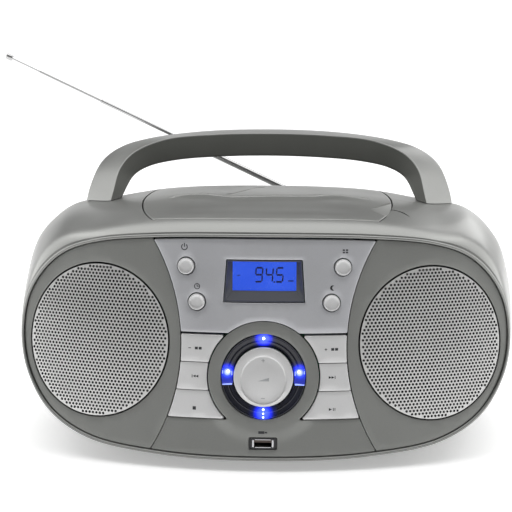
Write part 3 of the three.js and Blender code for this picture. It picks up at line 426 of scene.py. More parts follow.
def filled(loops, pitch, extra=None):
    """A fine triangle net over a plane region. The first loop bounds it and the rest are holes."""
    outer, holes = loops[0], loops[1:]
    low, high = outer.min(0), outer.max(0)
    columns = np.arange(low[0] + pitch / 2, high[0], pitch)
    rows = np.arange(low[1] + pitch / 2, high[1], pitch * 0.87)
    net = np.array([(x + (k % 2) * pitch / 2, z) for k, z in enumerate(rows) for x in columns]).reshape(-1, 2)
    if extra is not None:
        near = np.array([np.min(np.linalg.norm(extra - p, axis=1)) for p in net])
        net = np.vstack([net[near > 0.6 * pitch], extra])
    keep = inside(net, outer)
    for hole in holes:
        keep &= ~inside(net, hole)
    net = net[keep]
    edge = np.vstack(loops)
    clear = 0.25 * pitch if extra is not None else 0.55 * pitch
    far = [np.min(np.sum((edge - p) ** 2, axis=1)) > clear**2 for p in net]
    net = net[np.array(far, bool)] if len(net) else net
    points = np.vstack([edge, net]) if len(net) else edge
    links, start = [], 0
    for loop in loops:
        count = len(loop)
        links += [(start + k, start + (k + 1) % count) for k in range(count)]
        start += count
    vertices, _, triangles, origins, _, _ = delaunay_2d_cdt([Vector(p) for p in points], links, [], 1, 1e-6)
    if len(vertices) != len(points):
        raise ValueError(f"the region's outline crosses itself: {len(points)} points became {len(vertices)}")
    back = np.array([o[0] for o in origins])
    triangles = back[np.array(triangles)]
    centres = points[triangles].mean(1)
    keep = inside(centres, outer)
    for hole in holes:
        keep &= ~inside(centres, hole)
    return points, triangles[keep]


ROUNDING = [(0.62, 0.08), (0.29, 0.29), (0.08, 0.62), (0.0, 1.0)]  # (inset, drop) shares of a round edge
BACK_CHAMFER = 0.3  # share of the front's round edge


def plate(name, outline, surface, front=0.0, back=2.6, edge=0.4, holes=(), pitch=3.0, extra=None):
    """A closed sheet between two depths under a surface, with round front edges and small back chamfers.

    surface(points, depth) turns plane points into points in space.
    """
    loops = [turned_so(outline)] + [turned_so(hole, left=False) for hole in holes]
    net, triangles = filled([inset(loop, edge) for loop in loops], pitch, extra)
    points = [surface(net, front), surface(net, back)]
    count = len(net)
    faces = triangles.tolist() + (triangles[:, ::-1] + count).tolist()
    start, total = 0, 2 * count
    for loop in loops:
        size = len(loop)
        rings = [surface(inset(loop, share * edge), front + drop * edge) for share, drop in ROUNDING]
        rings.append(surface(loop, back - BACK_CHAMFER * edge))
        levels = [np.arange(start, start + size)]
        for ring in rings:
            points.append(ring)
            levels.append(np.arange(total, total + size))
            total += size
        levels.append(np.arange(start, start + size) + count)
        for a, b in zip(levels, levels[1:]):
            faces += np.stack([a, np.roll(a, -1), np.roll(b, -1), b], 1).tolist()
        start += size
    return make(name, np.vstack(points), faces)


# ---- The front face ----
def face_y(x, z):
    return FACE_Y + FACE_CURVE * x**2 + (z - FACE_LEAN_Z) * FACE_LEAN


def on_face(points, depth):
    x, z = points[:, 0], points[:, 1]
    return np.stack([x, face_y(x, z) + depth, z], 1)


DIAL_PLACE = np.array([0, face_y(0, DIAL_Z), DIAL_Z])
DIAL_OUT = np.array([0, -math.cos(FACE_LEAN_ANGLE), math.sin(FACE_LEAN_ANGLE)])
DIAL_UP = np.array([0, math.sin(FACE_LEAN_ANGLE), math.cos(FACE_LEAN_ANGLE)])


def on_dial(points, depth):
    """Plane points on the dial, (across, up), at a depth behind the face."""
    depths = np.broadcast_to(depth, len(points))
    across = np.outer(points[:, 0], (1, 0, 0))
    return DIAL_PLACE + across + np.outer(points[:, 1], DIAL_UP) - np.outer(depths, DIAL_OUT)


def at_dial(name, profile, steps=192):
    return turned(name, profile, DIAL_PLACE, DIAL_OUT, steps)


def column_half(z):
    return COLUMN_WAIST + COLUMN_ARC_R - np.sqrt(COLUMN_ARC_R**2 - (z - COLUMN_ARC_Z) ** 2)


def whole(half):
    return half + [(-x, z) for x, z in half[-2:0:-1]]


def outline(half, inward=0.0, steps=440):
    """The closed curve through a right half and its mirror image, shrunk by inward on every side."""
    points = spline(whole(half), steps, closed=True)
    middle = (half[0][1] + half[-1][1]) / 2
    wide, high = max(x for x, _ in half), (half[0][1] - half[-1][1]) / 2
    x, z = points[:, 0], points[:, 1]
    return np.stack([x * (1 - inward / wide), middle + (z - middle) * (1 - inward / high)], 1)


# ---- The case ----
SWELL_REACH = 0.05  # share of the depth in which the case first grows quickly behind the rim
SWELL_PART = 0.3  # share of the growth that happens there
SWELL_LOW, SWELL_SPAN = 70, 55  # heights over which the growth turns from even to quick


def swell(share, z):
    """How far a point of the case has grown from the rim's outline to the widest one."""
    quick = SWELL_PART * (1 - np.exp(-share / SWELL_REACH)) + (1 - SWELL_PART) * (1 - (1 - share) ** 2)
    return share + (quick - share) * ease((z - SWELL_LOW) / SWELL_SPAN)


def front_ring(rim, wide, share):
    """A ring between the rim's outline (share 0) and the widest one (share 1)."""
    blend = swell(share, rim[:, 1])
    front = face_y(rim[:, 0], rim[:, 1]) - LIP_PROUD + 1
    x, z = (rim[:, k] + (wide[:, k] - rim[:, k]) * blend for k in (0, 1))
    return np.stack([x, front * (1 - share), z], 1)


def front_ring_at(rim, wide, y):
    front = face_y(rim[:, 0], rim[:, 1]) - LIP_PROUD + 1
    return front_ring(rim, wide, 1 - y / front)


def parting_ring(inward, y):
    return front_ring_at(outline(RIM_OUTLINE, inward), outline(WIDE_OUTLINE, inward), y)


def straight_ring(wide, y):
    return np.stack([wide[:, 0], np.full(len(wide), float(y)), wide[:, 1]], 1)


def rear_ring(wide, turn, back=CASE_BACK):
    """A ring of the rounded rear. turn goes from 0 at the start of the taper to 90 degrees at the back."""
    share = math.sin(turn) ** (2 / REAR_ROUNDNESS)
    scale_x = REAR_WIDTH_SHARE + (1 - REAR_WIDTH_SHARE) * math.cos(turn)
    scale_z = REAR_HEIGHT_SHARE + (1 - REAR_HEIGHT_SHARE) * math.cos(turn)
    lift = REAR_LIFT * (1 - math.sqrt(max(0, 1 - share**6)))
    z = CASE_BOTTOM + lift + (wide[:, 1] - CASE_BOTTOM) * (scale_z - lift / (CASE_TOP - CASE_BOTTOM))
    y = REAR_TAPER_START + (back - REAR_TAPER_START) * share
    return np.stack([wide[:, 0] * scale_x, np.full(len(wide), y), z], 1)


LIP = [  # inward of the rim and depth behind the lip's crest
    (2.0, 7.0), (2.0, 1.5), (1.93, 1.0), (1.75, 0.5), (1.45, 0.15), (1.1, 0.0), (0.75, 0.03), (0.4, 0.2),
    (0.14, 0.5), (0.05, 0.8), (0.25, 0.92), (0.62, 1.0), (0.68, 1.5),
]
PARTING_EDGE = [(0.06, 0.22), (0.2, 0.06), (0.5, 0)]  # inward and back of each ring of the round edge
INNER_SHARES = (0.85, 0.6, 0.35, 0.16)
GROOVE_SHARE = 0.0085  # the groove behind the lip ends at this share of the case's front half
FRONT_SHARES = GROOVE_SHARE + (1 - GROOVE_SHARE) * (np.arange(46) / 46) ** 1.55


def front_shell():
    rings = [on_face(outline(RIM_OUTLINE, inward), depth - LIP_PROUD) for inward, depth in LIP]
    rim, wide = outline(RIM_OUTLINE), outline(WIDE_OUTLINE)
    rings += [front_ring(rim, wide, share) for share in FRONT_SHARES]
    edge = PARTING_Y - GAP / 2
    rings.append(front_ring_at(rim, wide, edge - 0.5))
    rings += [parting_ring(inward, edge - back) for inward, back in PARTING_EDGE]
    rim, wide = outline(RIM_OUTLINE, LIP_WIDTH), outline(WIDE_OUTLINE, WALL)
    rings.append(front_ring_at(rim, wide, edge))
    rings += [front_ring(rim, wide, share) for share in INNER_SHARES]
    made = tube("front_shell", rings, closed=True)
    combine(made, lid_opening())
    return combine(made, thumb_scoop())


def rear_shell():
    start = PARTING_Y + GAP / 2
    rim, wide = outline(RIM_OUTLINE, LIP_WIDTH), outline(WIDE_OUTLINE, WALL)
    inner_back = CASE_BACK - WALL
    last = rear_ring(wide, math.pi / 2, inner_back)
    middle = np.array([0, inner_back, last[:, 2].mean()])
    rings = [middle + (last - middle) * share for share in (0.002, 0.5)]
    rings += [rear_ring(wide, turn, inner_back) for turn in np.radians(np.linspace(90, 0, 22))]
    rings.append(front_ring_at(rim, wide, start))
    rings += [parting_ring(inward, start + back) for inward, back in reversed(PARTING_EDGE)]
    rim, wide = outline(RIM_OUTLINE), outline(WIDE_OUTLINE)
    rings += [front_ring_at(rim, wide, y) for y in (start + 0.5, -1.2)]
    rings += [straight_ring(wide, y) for y in (0, 4, 8, 12)]
    rings += [rear_ring(wide, turn) for turn in np.radians(np.linspace(0, 90, 48))]
    middle = np.array([0, CASE_BACK, rings[-1][:, 2].mean()])
    rings += [middle + (rings[-1] - middle) * share for share in (0.9, 0.7, 0.4, 0.002)]
    made = tube("rear_shell", rings)
    combine(made, lid_opening())
    x, y, _ = AERIAL_PIVOT
    combine(made, rod("aerial_hole", AERIAL_FORK_R + GAP, (x, y, 100), (x, y, 140), 64))
    for hole in rear_holes():
        combine(made, hole)
    return made


SCREW_HOLE_R = 3.2
VENTS = {"rows": 5, "low": 74, "pitch": 4.2, "inner": 8, "outer": 46, "taper": 1.5, "half_height": 0.8}


def rear_holes():
    """Cuts for the battery door, the inlet, the two screws and the rows of vents."""
    half, low, high = BATTERY["half"] + GAP, BATTERY["low"] - GAP, BATTERY["high"] + GAP
    yield prism("door_hole", rounded(-half, half, low, high, 2), 90, 120)
    x0, x1, z0, z1 = INLET
    yield prism("inlet_hole", rounded(x0 - GAP, x1 + GAP, z0 - GAP, z1 + GAP, 1.2), 90, 120)
    for place in SCREW_PLACES.values():
        yield prism("screw_hole", circle(place, SCREW_HOLE_R), 90, 120)
    for row in range(VENTS["rows"]):
        z = VENTS["low"] + row * VENTS["pitch"]
        ends = VENTS["inner"], VENTS["outer"] - row * VENTS["taper"]
        for side in (-1, 1):
            x0, x1 = sorted(side * end for end in ends)
            slot = rounded(x0, x1, z - VENTS["half_height"], z + VENTS["half_height"], 0.75)
            yield prism("vent", slot, 100, 112)


def lid_outline(grow=0.0, back=LID_BACK, steps=36):
    front = LID_FRONT + LID_FRONT_BOW - grow
    side, end = 65 + grow, back + grow
    right = [
        bezier([(side, front), (77 + grow, -48), (78 + grow, 4), (69 + grow, 36)], steps),
        bezier([(69 + grow, 36), (67.5 + grow, 42), (64 + grow, end), (58 + grow, end)], steps // 3),
    ]
    right = np.vstack(right + [[(58 + grow, end)]])
    left = right[::-1] * (-1, 1)
    bow = bezier([(-side, front), (0, front - 2 * LID_FRONT_BOW), (side, front)], steps)
    return np.vstack([bow, right, left[:-1]])


def lid_opening():
    return prism("opening", lid_outline(0.5, LID_ROOM_BACK), 100, 170, "z")


def thumb_scoop():
    """A narrow crescent in the case beside the lid's finger hold."""
    outer = spline([(72, -40.2), (77, -39.6), (81, -42.5), (84, -49.5)], 16)
    inner = spline([(83.6, -49.6), (79.6, -44), (76.4, -41.4), (72, -41.9)], 16)
    return prism("scoop", np.vstack([outer, inner]), 136.9, 150, "z")


def top_height_table():
    """Heights of the top of the case over a net of (x, y)."""
    rim, wide = (outline(half, steps=2200) for half in (RIM_OUTLINE, WIDE_OUTLINE))
    rings = [front_ring(rim, wide, share) for share in np.linspace(0, 1, 260)]
    rings += [straight_ring(wide, y) for y in (5, 10, 14.9)]
    rings += [rear_ring(wide, turn) for turn in np.radians(np.linspace(0, 60, 90))[1:]]
    columns = np.arange(-100, 100.1, 0.5)
    ys, zs = [], []
    for ring in rings:
        top = ring[ring[:, 2] > 75]
        top = top[np.argsort(top[:, 0])]
        ys.append(np.interp(columns, top[:, 0], top[:, 1]))
        zs.append(np.interp(columns, top[:, 0], top[:, 2]))
    return columns, np.array(ys), np.array(zs)


COLUMNS, TOP_Y, TOP_Z = top_height_table()


def top_height(x, y):
    made = np.zeros(len(x))
    index = np.clip(np.searchsorted(COLUMNS, x) - 1, 0, len(COLUMNS) - 2)
    share = (x - COLUMNS[index]) / (COLUMNS[1] - COLUMNS[0])
    for k in np.unique(index):
        here = index == k
        low = np.interp(y[here], TOP_Y[:, k], TOP_Z[:, k])
        high = np.interp(y[here], TOP_Y[:, k + 1], TOP_Z[:, k + 1])
        made[here] = low + (high - low) * share[here]
    return made


# ---- Lid ----
LID_WAVE = [  # (x, y) and depth share of the wavy line
    (-58.4, -17.5, 0.7), (-51, -11.2, 1), (-38, -11.6, 1), (-29, -18.5, 0.9), (-21.4, -22.4, 0.8),
    (-7.5, -20.8, 0.6), (8.6, -18.6, 0.5), (24.8, -17.5, 0.6), (35, -12, 0.9), (41, -9.4, 1),
    (49.7, -12.4, 1), (60.3, -17.2, 0.9),
]
LID_CREASE = [(-24, -15, 0.2), (-20.5, -9, 0.8), (-16.8, -2, 1), (-10.7, 12, 1), (-3, 20.5, 0.3)]
LID_STEP = 1.0  # the lid in front of the wave bends down by this much
STEP_HALF, STEP_SIDE_FADE = 64, 20  # half of the step's width, and how it fades towards its sides
STEP_BEND = 14  # depth in which the lid bends down
STEP_MARGIN, STEP_FRONT_FADE = 10, 22  # behind the lid's front edge, and how the step fades towards it
LID_PLAY = 0.3  # added to the gap round the lid
GROOVE_HALF_WIDTH = 0.48
GROOVE_DEPTH = 1.6
GROOVE_ROWS = 0.22  # between rows of net points along a groove
FINGER_HOLD = [(60.5, -47, 141.3), (76, -17, 141.6), (72, -61, 138.1), (80, -42, 134.5)]


def groove_at(points):
    """How deep the decorative lines are engraved at each (x, y)."""
    deep = np.zeros(len(points))
    for line in (LID_WAVE, LID_CREASE):
        route = spline(line, 240)
        for start in range(0, len(points), 4000):
            part = points[start:start + 4000]
            apart = np.linalg.norm(part[:, None] - route[None, :, :2], axis=2)
            nearest = apart.argmin(1)
            gap = apart[np.arange(len(part)), nearest] / GROOVE_HALF_WIDTH
            here = route[nearest, 2] * np.exp(-gap**2)
            deep[start:start + 4000] = np.maximum(deep[start:start + 4000], here)
    return GROOVE_DEPTH * deep


def beside_grooves():
    """Extra net points in rows along the engraved lines."""
    rows = []
    for line in (LID_WAVE, LID_CREASE):
        route = spline(line, 200)[:, :2]
        ahead = np.gradient(route, axis=0)
        ahead /= np.linalg.norm(ahead, axis=1, keepdims=True)
        aside = np.stack([-ahead[:, 1], ahead[:, 0]], 1)
        rows += [route + aside * k * GROOVE_ROWS for k in range(-4, 5)]
    return np.vstack(rows)


def on_lid(points, depth):
    x, y = points[:, 0], points[:, 1]
    upper = depth < LID_SKIN / 2  # only the upper face is carved
    carved = groove_at(points) + beyond_wave(points) if upper else 0
    return np.stack([x, y, top_height(x, y) - depth - carved], 1)


def beyond_wave(points):
    """How far the lid bends down in front of its wave line."""
    x, y = points[:, 0], points[:, 1]
    route = spline(LID_WAVE, 240)
    line = np.interp(x, route[:, 0], route[:, 1])
    ends = np.clip((STEP_HALF - np.abs(x)) / STEP_SIDE_FADE, 0, 1)
    front = ease((y - LID_FRONT - STEP_MARGIN) / STEP_FRONT_FADE)
    return LID_STEP * ends * ease((line - y) / STEP_BEND) * front


def lid():
    """The lid with its finger hold, hinge barrel and the web between them."""
    shape = filleted(lid_outline(-LID_PLAY), 1.2)
    made = plate("lid", resampled(shape, 2), on_lid, 0, LID_SKIN, 0.5, pitch=2.0, extra=beside_grooves())
    combine(made, finger_hold())
    y, z = LID_AXIS
    half = LID_KNUCKLE_HALF
    combine(made, block("web", (-half, half), (y - 4.6, y), (z - 1, z + 1.6)), "UNION")
    combine(made, rod("barrel", LID_KNUCKLE_R, (-half, y, z), (half, y, z)), "UNION")
    combine(made, rod("bore", 1.5, (-half - 2, y, z), (half + 2, y, z), 32))
    return made


def finger_hold():
    """A three-sided cut into the right edge of the lid."""
    work = bmesh.new()
    for x, y, z in FINGER_HOLD:
        for rise in (0, 14):
            work.verts.new(metres([(x, y, z + rise)])[0])
    bmesh.ops.convex_hull(work, input=work.verts)
    mesh = bpy.data.meshes.new("finger_hold")
    work.to_mesh(mesh)
    work.free()
    return linked("finger_hold", mesh)


# ---- The front panels ----
def column_arc(low, high, inward, steps=40):
    """The right edge of the middle column, going up."""
    z = np.linspace(low, high, steps)
    return np.stack([column_half(z) - inward, z], 1)


PANEL_EDGE = outline(RIM_OUTLINE, LIP_WIDTH + 0.25, 880)
SPEAKER_AXES = {}
for side in (-1, 1):
    slope = 2 * FACE_CURVE * side * SPEAKER_X
    axis = np.array([slope, -1, FACE_LEAN])
    across = np.array([1, slope, 0]) / math.hypot(1, slope)
    axis /= np.linalg.norm(axis)
    SPEAKER_AXES[side] = (axis, across, np.cross(across, axis) * -1)


def speaker_on_face(side, points):
    """The (x, z) on the face of plane points around the speaker, seen along its axis."""
    axis, across, up = SPEAKER_AXES[side]
    centre = np.array([side * SPEAKER_X, face_y(side * SPEAKER_X, SPEAKER_Z), SPEAKER_Z])
    at = centre + np.outer(points[:, 0], across) + np.outer(points[:, 1], up)
    for _ in range(4):
        miss = at[:, 1] - face_y(at[:, 0], at[:, 2])
        closing = axis[1] - 2 * FACE_CURVE * at[:, 0] * axis[0] - FACE_LEAN * axis[2]
        at = at - np.outer(miss / closing, axis)
    return at[:, [0, 2]]


def side_panel(side):
    x, z = side * PANEL_EDGE[:, 0], PANEL_EDGE[:, 1]
    keep = x > column_half(z) + COLUMN_GAP + COLUMN_MARGIN
    start = 0 if side > 0 else len(PANEL_EDGE) // 2
    run = np.roll(PANEL_EDGE, start, 0)[np.roll(keep, start)]
    ends = run[0][1], run[-1][1]
    edge = column_arc(min(ends), max(ends), -COLUMN_GAP) * (side, 1)
    loop = np.vstack([run, edge if ends[1] < ends[0] else edge[::-1]])
    hole = speaker_on_face(side, circle((0, 0), SPEAKER_HOLE_R, 200))
    name = "side_panel_right" if side > 0 else "side_panel_left"
    return plate(name, filleted(cleaned(loop), 0.6), on_face, 0, PANEL_THICK, PANEL_ROUND, [hole], pitch=3.2)


def cleaned(loop, least=0.5):
    """The loop without points closer together than least."""
    made = [loop[0]]
    for point in loop[1:]:
        if np.linalg.norm(point - made[-1]) > least:
            made.append(point)
    while np.linalg.norm(made[-1] - made[0]) < least:
        made.pop()
    return np.array(made)


def dial_arc(radius, low, high, steps=40):
    """The right side of a circle round the dial, as (x, z) on the face, between two heights, going up."""
    reach = radius * math.cos(FACE_LEAN_ANGLE)
    first, last = (math.asin(np.clip((z - DIAL_Z) / reach, -1, 1)) for z in (low, high))
    a = np.linspace(first, last, steps)
    return np.stack([radius * np.cos(a), DIAL_Z + reach * np.sin(a)], 1)


def column_rim(upper):
    """The part of the panels' outer edge that lies in the middle column."""
    x, z = PANEL_EDGE[:, 0], PANEL_EDGE[:, 1]
    within = np.abs(x) < column_half(z) - COLUMN_GAP - COLUMN_MARGIN
    return PANEL_EDGE[within & (z > 100 if upper else z < 40)]


def upper_fascia():
    rim = column_rim(upper=True)
    rim = rim[np.argsort(-rim[:, 0])] - (0, FASCIA_DROP)
    right = column_arc(FASCIA_BOTTOM, rim[0][1] - 0.2, COLUMN_GAP)
    over = dial_arc(BEZEL_R + GAP, FASCIA_BOTTOM, DIAL_Z + 40)
    loop = np.vstack([right, rim, right[::-1] * (-1, 1), over * (-1, 1), over[::-1]])
    holes = [resampled(filleted(window_grown(GAP), 0.6), 2.0)]
    holes += [circle(centre, ROUND_BUTTON_R + GAP, 72) for centre in ROUND_BUTTONS.values()]
    shape = filleted(resampled(cleaned(loop), 3), 0.7)
    return plate("fascia", shape, on_face, -FASCIA_PROUD, PANEL_THICK, PANEL_ROUND, holes)


def ring_face(points, depth):
    """The lower fascia's surface: flat round the dial, then bending into the curved face."""
    x, z = points[:, 0], points[:, 1]
    radius = np.hypot(x, (z - DIAL_Z) / math.cos(FACE_LEAN_ANGLE))
    flat = face_y(0 * x, z) - BEZEL_RISE
    return np.stack([x, flat + (face_y(x, z) - flat) * ease((radius - BEZEL_R) / 7) + depth, z], 1)


def dial_circle(radius, steps=240):
    return circle((0, DIAL_Z), radius, steps, math.cos(FACE_LEAN_ANGLE))


def lower_fascia():
    """The lower fascia and the ring round the volume rocker, in one moulding."""
    top = BUTTON_ROWS[-1] - GAP
    rim = column_rim(upper=False)
    rim = rim[np.argsort(rim[:, 0])]
    right = column_arc(rim[-1][1] + 0.2, top, COLUMN_GAP, 16)
    over = dial_circle(BEZEL_R)
    over = over[over[:, 1] > top]
    over = over[np.argsort(np.arctan2(over[:, 1] - DIAL_Z, over[:, 0]))]
    low = over[over[:, 1] < DIAL_Z]
    over = np.vstack([low[low[:, 0] > 0], over[over[:, 1] >= DIAL_Z], low[low[:, 0] < 0]])
    loop = np.vstack([rim, right, over, right[::-1] * (-1, 1)])
    width, height = USB_HOLE
    hole = resampled(rounded_about(0, USB_Z, width / 2, height / 2, 0.9), 2)
    shape = filleted(resampled(cleaned(loop), 3), 0.6)
    holes = [dial_circle(RING_R + GAP), hole]
    return plate("fascia_lower", shape, ring_face, 0, PANEL_THICK, PANEL_ROUND, holes, pitch=2.4)


def key(name, side, row):
    top, bottom = BUTTON_ROWS[row] - GAP / 2, BUTTON_ROWS[row + 1] + GAP / 2
    outer = column_arc(bottom, top, GAP, 12)
    inner = dial_arc(BEZEL_R + 2 * GAP, bottom, top, 12)
    loop = np.vstack([outer, inner[::-1]]) * (side, 1)
    shape = filleted(resampled(turned_so(loop), 2.2), 0.7)
    made = plate(name, shape, on_face, -KEY_PROUD, 4.6, 0.5, pitch=2.6)
    x, z = side * 39, (top + bottom) / 2
    stem = prism("stem", rectangle(x - 2, x + 2, z - 2, z + 2), face_y(x, z) + 4, face_y(x, z) + 7.8)
    return combine(made, stem, "UNION")


def round_key(name, centre):
    """A round button with a raised ring at its edge and a shallow dished face."""
    x, z = centre
    axis = np.array([2 * FACE_CURVE * x, -1, FACE_LEAN])
    r = ROUND_BUTTON_R - 0.1
    profile = [
        (0, 1.0), (r * 0.5, 1.03), (r - 0.95, 1.12), (r - 0.8, 1.22), (r - 0.62, 1.55), (r - 0.42, 1.62),
        (r - 0.22, 1.55), (r - 0.07, 1.35), (r, 1.05), (r, -4.4), (1.6, -4.4), (1.6, -7.8), (0, -7.8),
    ]
    return turned(name, profile, (x, face_y(x, z), z), axis)


RING_STEPS = [  # inward of the ring's outside and height, going in
    (0, -0.55), (0.2, -0.25), (0.5, -0.15), (0.85, -0.3), (1.0, -0.75), (1.2, -0.95), (3.0, -1.3),
    (3.2, -1.15), (3.5, -1.12), (3.75, -1.35), (3.9, -1.75), (5.2, -2.0), (5.4, -1.85), (5.7, -1.9),
]


def glow_ring():
    """The glossy ring, with fine concentric steps that go down towards the rocker."""
    inner = ROCKER_R + 0.5
    steps = [(RING_R - inward, height) for inward, height in RING_STEPS]
    profile = [(inner, -6), (RING_R, -6), *steps, (inner + 0.35, -2.3), (inner, -2.6)]
    return at_dial("glow_ring", profile, steps=256)


WINDOW_SLOPE = 1.75  # how far the ring and its windows go down towards the rocker


def light_window(side):
    """A clear block that crosses the ring and carries light to the front."""
    outer = arc((0, 0.6), RING_R - 0.15, np.radians(np.linspace(-12, 12, 9)))
    inner = arc((0, 0.6), ROCKER_R + 0.75, np.radians(np.linspace(14, -14, 9)))
    loop = turned_so(np.vstack([outer, inner]) * (side, 1))
    shape = filleted(resampled(loop, 1.2), 0.5)

    def sloped(points, depth):
        out = np.clip((np.linalg.norm(points, axis=1) - ROCKER_R) / (RING_R - ROCKER_R), 0, 1)
        return on_dial(points, depth + WINDOW_SLOPE * (1 - out))

    name = "light_window_right" if side > 0 else "light_window_left"
    return plate(name, shape, sloped, -0.18, 2.2, 0.25, pitch=0.9)


ROCKER_DISH_DROP = 1.75  # the dished face sits this much below the rocker's middle
ROCKER_RINGS = [  # radius, depth, share of the drop, and stretch upward
    (0.01, 6, 0, 1), (15.2, 6, 0, 1), (15.2, 4, 0, 1), (16.7, 3, 0, 1), (16.8, 2.8, 0, 1),
    (16.8, -1.9, 0, 1), (16.74, -2.15, 0, 1), (16.58, -2.38, 0, 1), (16.35, -2.5, 0, 1), (16.15, -2.52, 0, 1),
    (15.8, -2.56, 0, 1), (13.3, -2.86, 0.85, 1.05), (12.95, -2.78, 1, 1.07), (12.7, -1.95, 1, 1.08),
    (12.4, -1.76, 1, 1.08), (12.0, -1.72, 1, 1.08), (8, -2.0, 1, 1.06), (4, -2.15, 1, 1), (0.01, -2.2, 1, 1),
]


def rocker():
    """The volume rocker: a raised rim round an off-centre dished face."""
    unit = circle((0, 0), 1, 160)
    drop = np.array([0, -ROCKER_DISH_DROP])
    rings = [on_dial(radius * unit * (1, stretch) + drop * share, depth)
             for radius, depth, share, stretch in ROCKER_RINGS]
    return tube("rocker", rings)


# ---- Display ----
WINDOW_LOOP = np.array([
    (-BEZEL_WINDOW["bottom"], BEZEL_WINDOW["low"]), (BEZEL_WINDOW["bottom"], BEZEL_WINDOW["low"]),
    (BEZEL_WINDOW["top"], BEZEL_WINDOW["high"]), (-BEZEL_WINDOW["top"], BEZEL_WINDOW["high"]),
])


def window_grown(grow):
    return WINDOW_LOOP + np.sign(WINDOW_LOOP - (0, 105)) * grow


BEZEL_EDGE = [(0, 4.6), (0, 0.1), (-0.1, -0.15), (-0.4, -0.3), (-0.65, -0.2), (-0.8, 0.1)]  # outward, depth


def display_frame():
    """The sloping frame round the screen, wide below and narrow above."""
    screen = rectangle(-SCREEN["half"], SCREEN["half"], SCREEN["low"], SCREEN["high"])
    shares = np.linspace(0, 1, 24, endpoint=False)[:, None]
    rings = []
    loops = [(window_grown(grow), depth) for grow, depth in BEZEL_EDGE]
    for loop, depth in loops + [(screen, 3.3), (screen, 4.6)]:
        sides = [a + (b - a) * shares for a, b in zip(loop, np.roll(loop, -1, 0))]
        rings.append(on_face(np.vstack(sides), depth))
    return tube("display_frame", rings, closed=True, sharp=25)


SEGMENTS = {"9": "abcdfg", "4": "bcfg", "5": "acdfg"}
DIGIT = {"width": 4.6, "height": 7.8, "bar": 0.98, "slant": 0.08, "narrow": 0.82, "rise": 4.9}
DIGIT_PLACES = (("9", -5.3), ("4", 0.6), ("5", 6.4))
SCREEN_INK = {"front": 4.72, "back": 4.98}  # depths behind the face


def segment_bar(start, end, half):
    """A six-sided bar between two plane points, pointed at both ends."""
    along = (end - start) / np.linalg.norm(end - start)
    aside = np.array([-along[1], along[0]]) * half
    a, b = start + along * 0.12, end - along * 0.12
    along = along * half
    return np.array([a, a + along - aside, b - along - aside, b, b - along + aside, a + along + aside])


def digits():
    """The frequency on the screen, in seven-segment figures, with its point and two small marks."""
    w, h = DIGIT["width"], DIGIT["height"]
    ends = {
        "a": ((0, h), (w, h)), "b": ((w, h), (w, h / 2)), "c": ((w, h / 2), (w, 0)),
        "d": ((0, 0), (w, 0)), "f": ((0, h), (0, h / 2)), "g": ((0, h / 2), (w, h / 2)),
    }
    base = SCREEN["low"] + DIGIT["rise"]
    bars = []
    for figure, left in DIGIT_PLACES:
        for letter in SEGMENTS[figure]:
            start, end = (np.array(p, float) for p in ends[letter])
            loop = segment_bar(start, end, DIGIT["bar"] / 2)
            x = left + loop[:, 0] * DIGIT["narrow"] + loop[:, 1] * DIGIT["slant"]
            bars.append(np.stack([x, base + loop[:, 1]], 1))
    bars.append(circle((5.6, base - 0.1), 0.5, 12))
    bars += [rectangle(13.4, 16.4, base + 0.2, base + 0.8), rectangle(-15.6, -13.8, base + 3.2, base + 3.6)]
    depths = SCREEN_INK["front"], SCREEN_INK["back"]
    pieces = [plate("bar", resampled(turned_so(loop), 3), on_face, *depths, 0.04, pitch=4) for loop in bars]
    return joined("screen_figures", *pieces)


# ---- Printed marks ----
def mark(loops, surface, front=-0.04, thick=0.12):
    return [plate("mark", turned_so(loop), surface, front, front + thick, 0.02, pitch=5) for loop in loops]


def ring_mark(centre, radius, width, gap=0, steps=40):
    """A ring, or an arc that leaves a gap at its top, in degrees."""
    angles = np.radians(np.linspace(90 + gap / 2, 450 - gap / 2, steps))
    return np.vstack([arc(centre, radius, angles), arc(centre, radius - width, angles)[::-1]])


def arrow(x, z, size, way):
    back, tip, half = x - way * size * 0.5, x + way * size * 0.5, size * 0.5
    return np.array([(back, z - half), (tip, z), (back, z + half)])


def bar(x, z, width, height):
    return rectangle(x - width / 2, x + width / 2, z - height / 2, z + height / 2)


def moon(centre, radius):
    outer = arc(centre, radius, np.radians(np.linspace(55, 305, 26)))
    middle = centre[0] + radius * 0.62, centre[1]
    return np.vstack([outer, arc(middle, radius * 0.8, np.radians(np.linspace(262, 98, 18)))])


POWER_MARK, CLOCK_MARK, MODE_MARK, MOON_MARK = (-45.4, 124.7), (-38.0, 102.9), (45.6, 122.6), (38.6, 102.6)


def fascia_marks():
    """A power sign, a clock, four blocks and a moon beside the round buttons."""
    x, z = POWER_MARK
    loops = [ring_mark((x, z), 1.9, 0.58, 70), bar(x, z + 1.1, 0.6, 2.1)]
    x, z = CLOCK_MARK
    loops += [ring_mark((x, z), 1.7, 0.45, 1), bar(x, z + 0.55, 0.4, 1.1), bar(x + 0.5, z, 1.0, 0.4)]
    x, z = MODE_MARK
    loops += [bar(x + across, z + up, 1.3, 0.9) for up in (1.0, -0.3) for across in (-0.9, 0.9)]
    loops.append(moon(MOON_MARK, 1.5))
    return joined("fascia_marks", *mark(loops, on_face, -FASCIA_PROUD - 0.05))


def usb_mark():
    """A memory stick seen from the side."""
    z = USB_Z + 6.4
    loops = [bar(-0.9, z, 3.4, 1.5), bar(1.7, z, 1.4, 0.9)]
    return joined("socket_mark", *mark(loops, ring_face))


def memory_sign(x, z, plus):
    """A plus or a minus before two blocks."""
    sign = [bar(x - 3.4, z, 1.5, 0.4)] + ([bar(x - 3.4, z, 0.4, 1.5)] if plus else [])
    return sign + [bar(x + 0.4, z, 1.7, 1.5), bar(x + 2.6, z, 1.7, 1.5)]


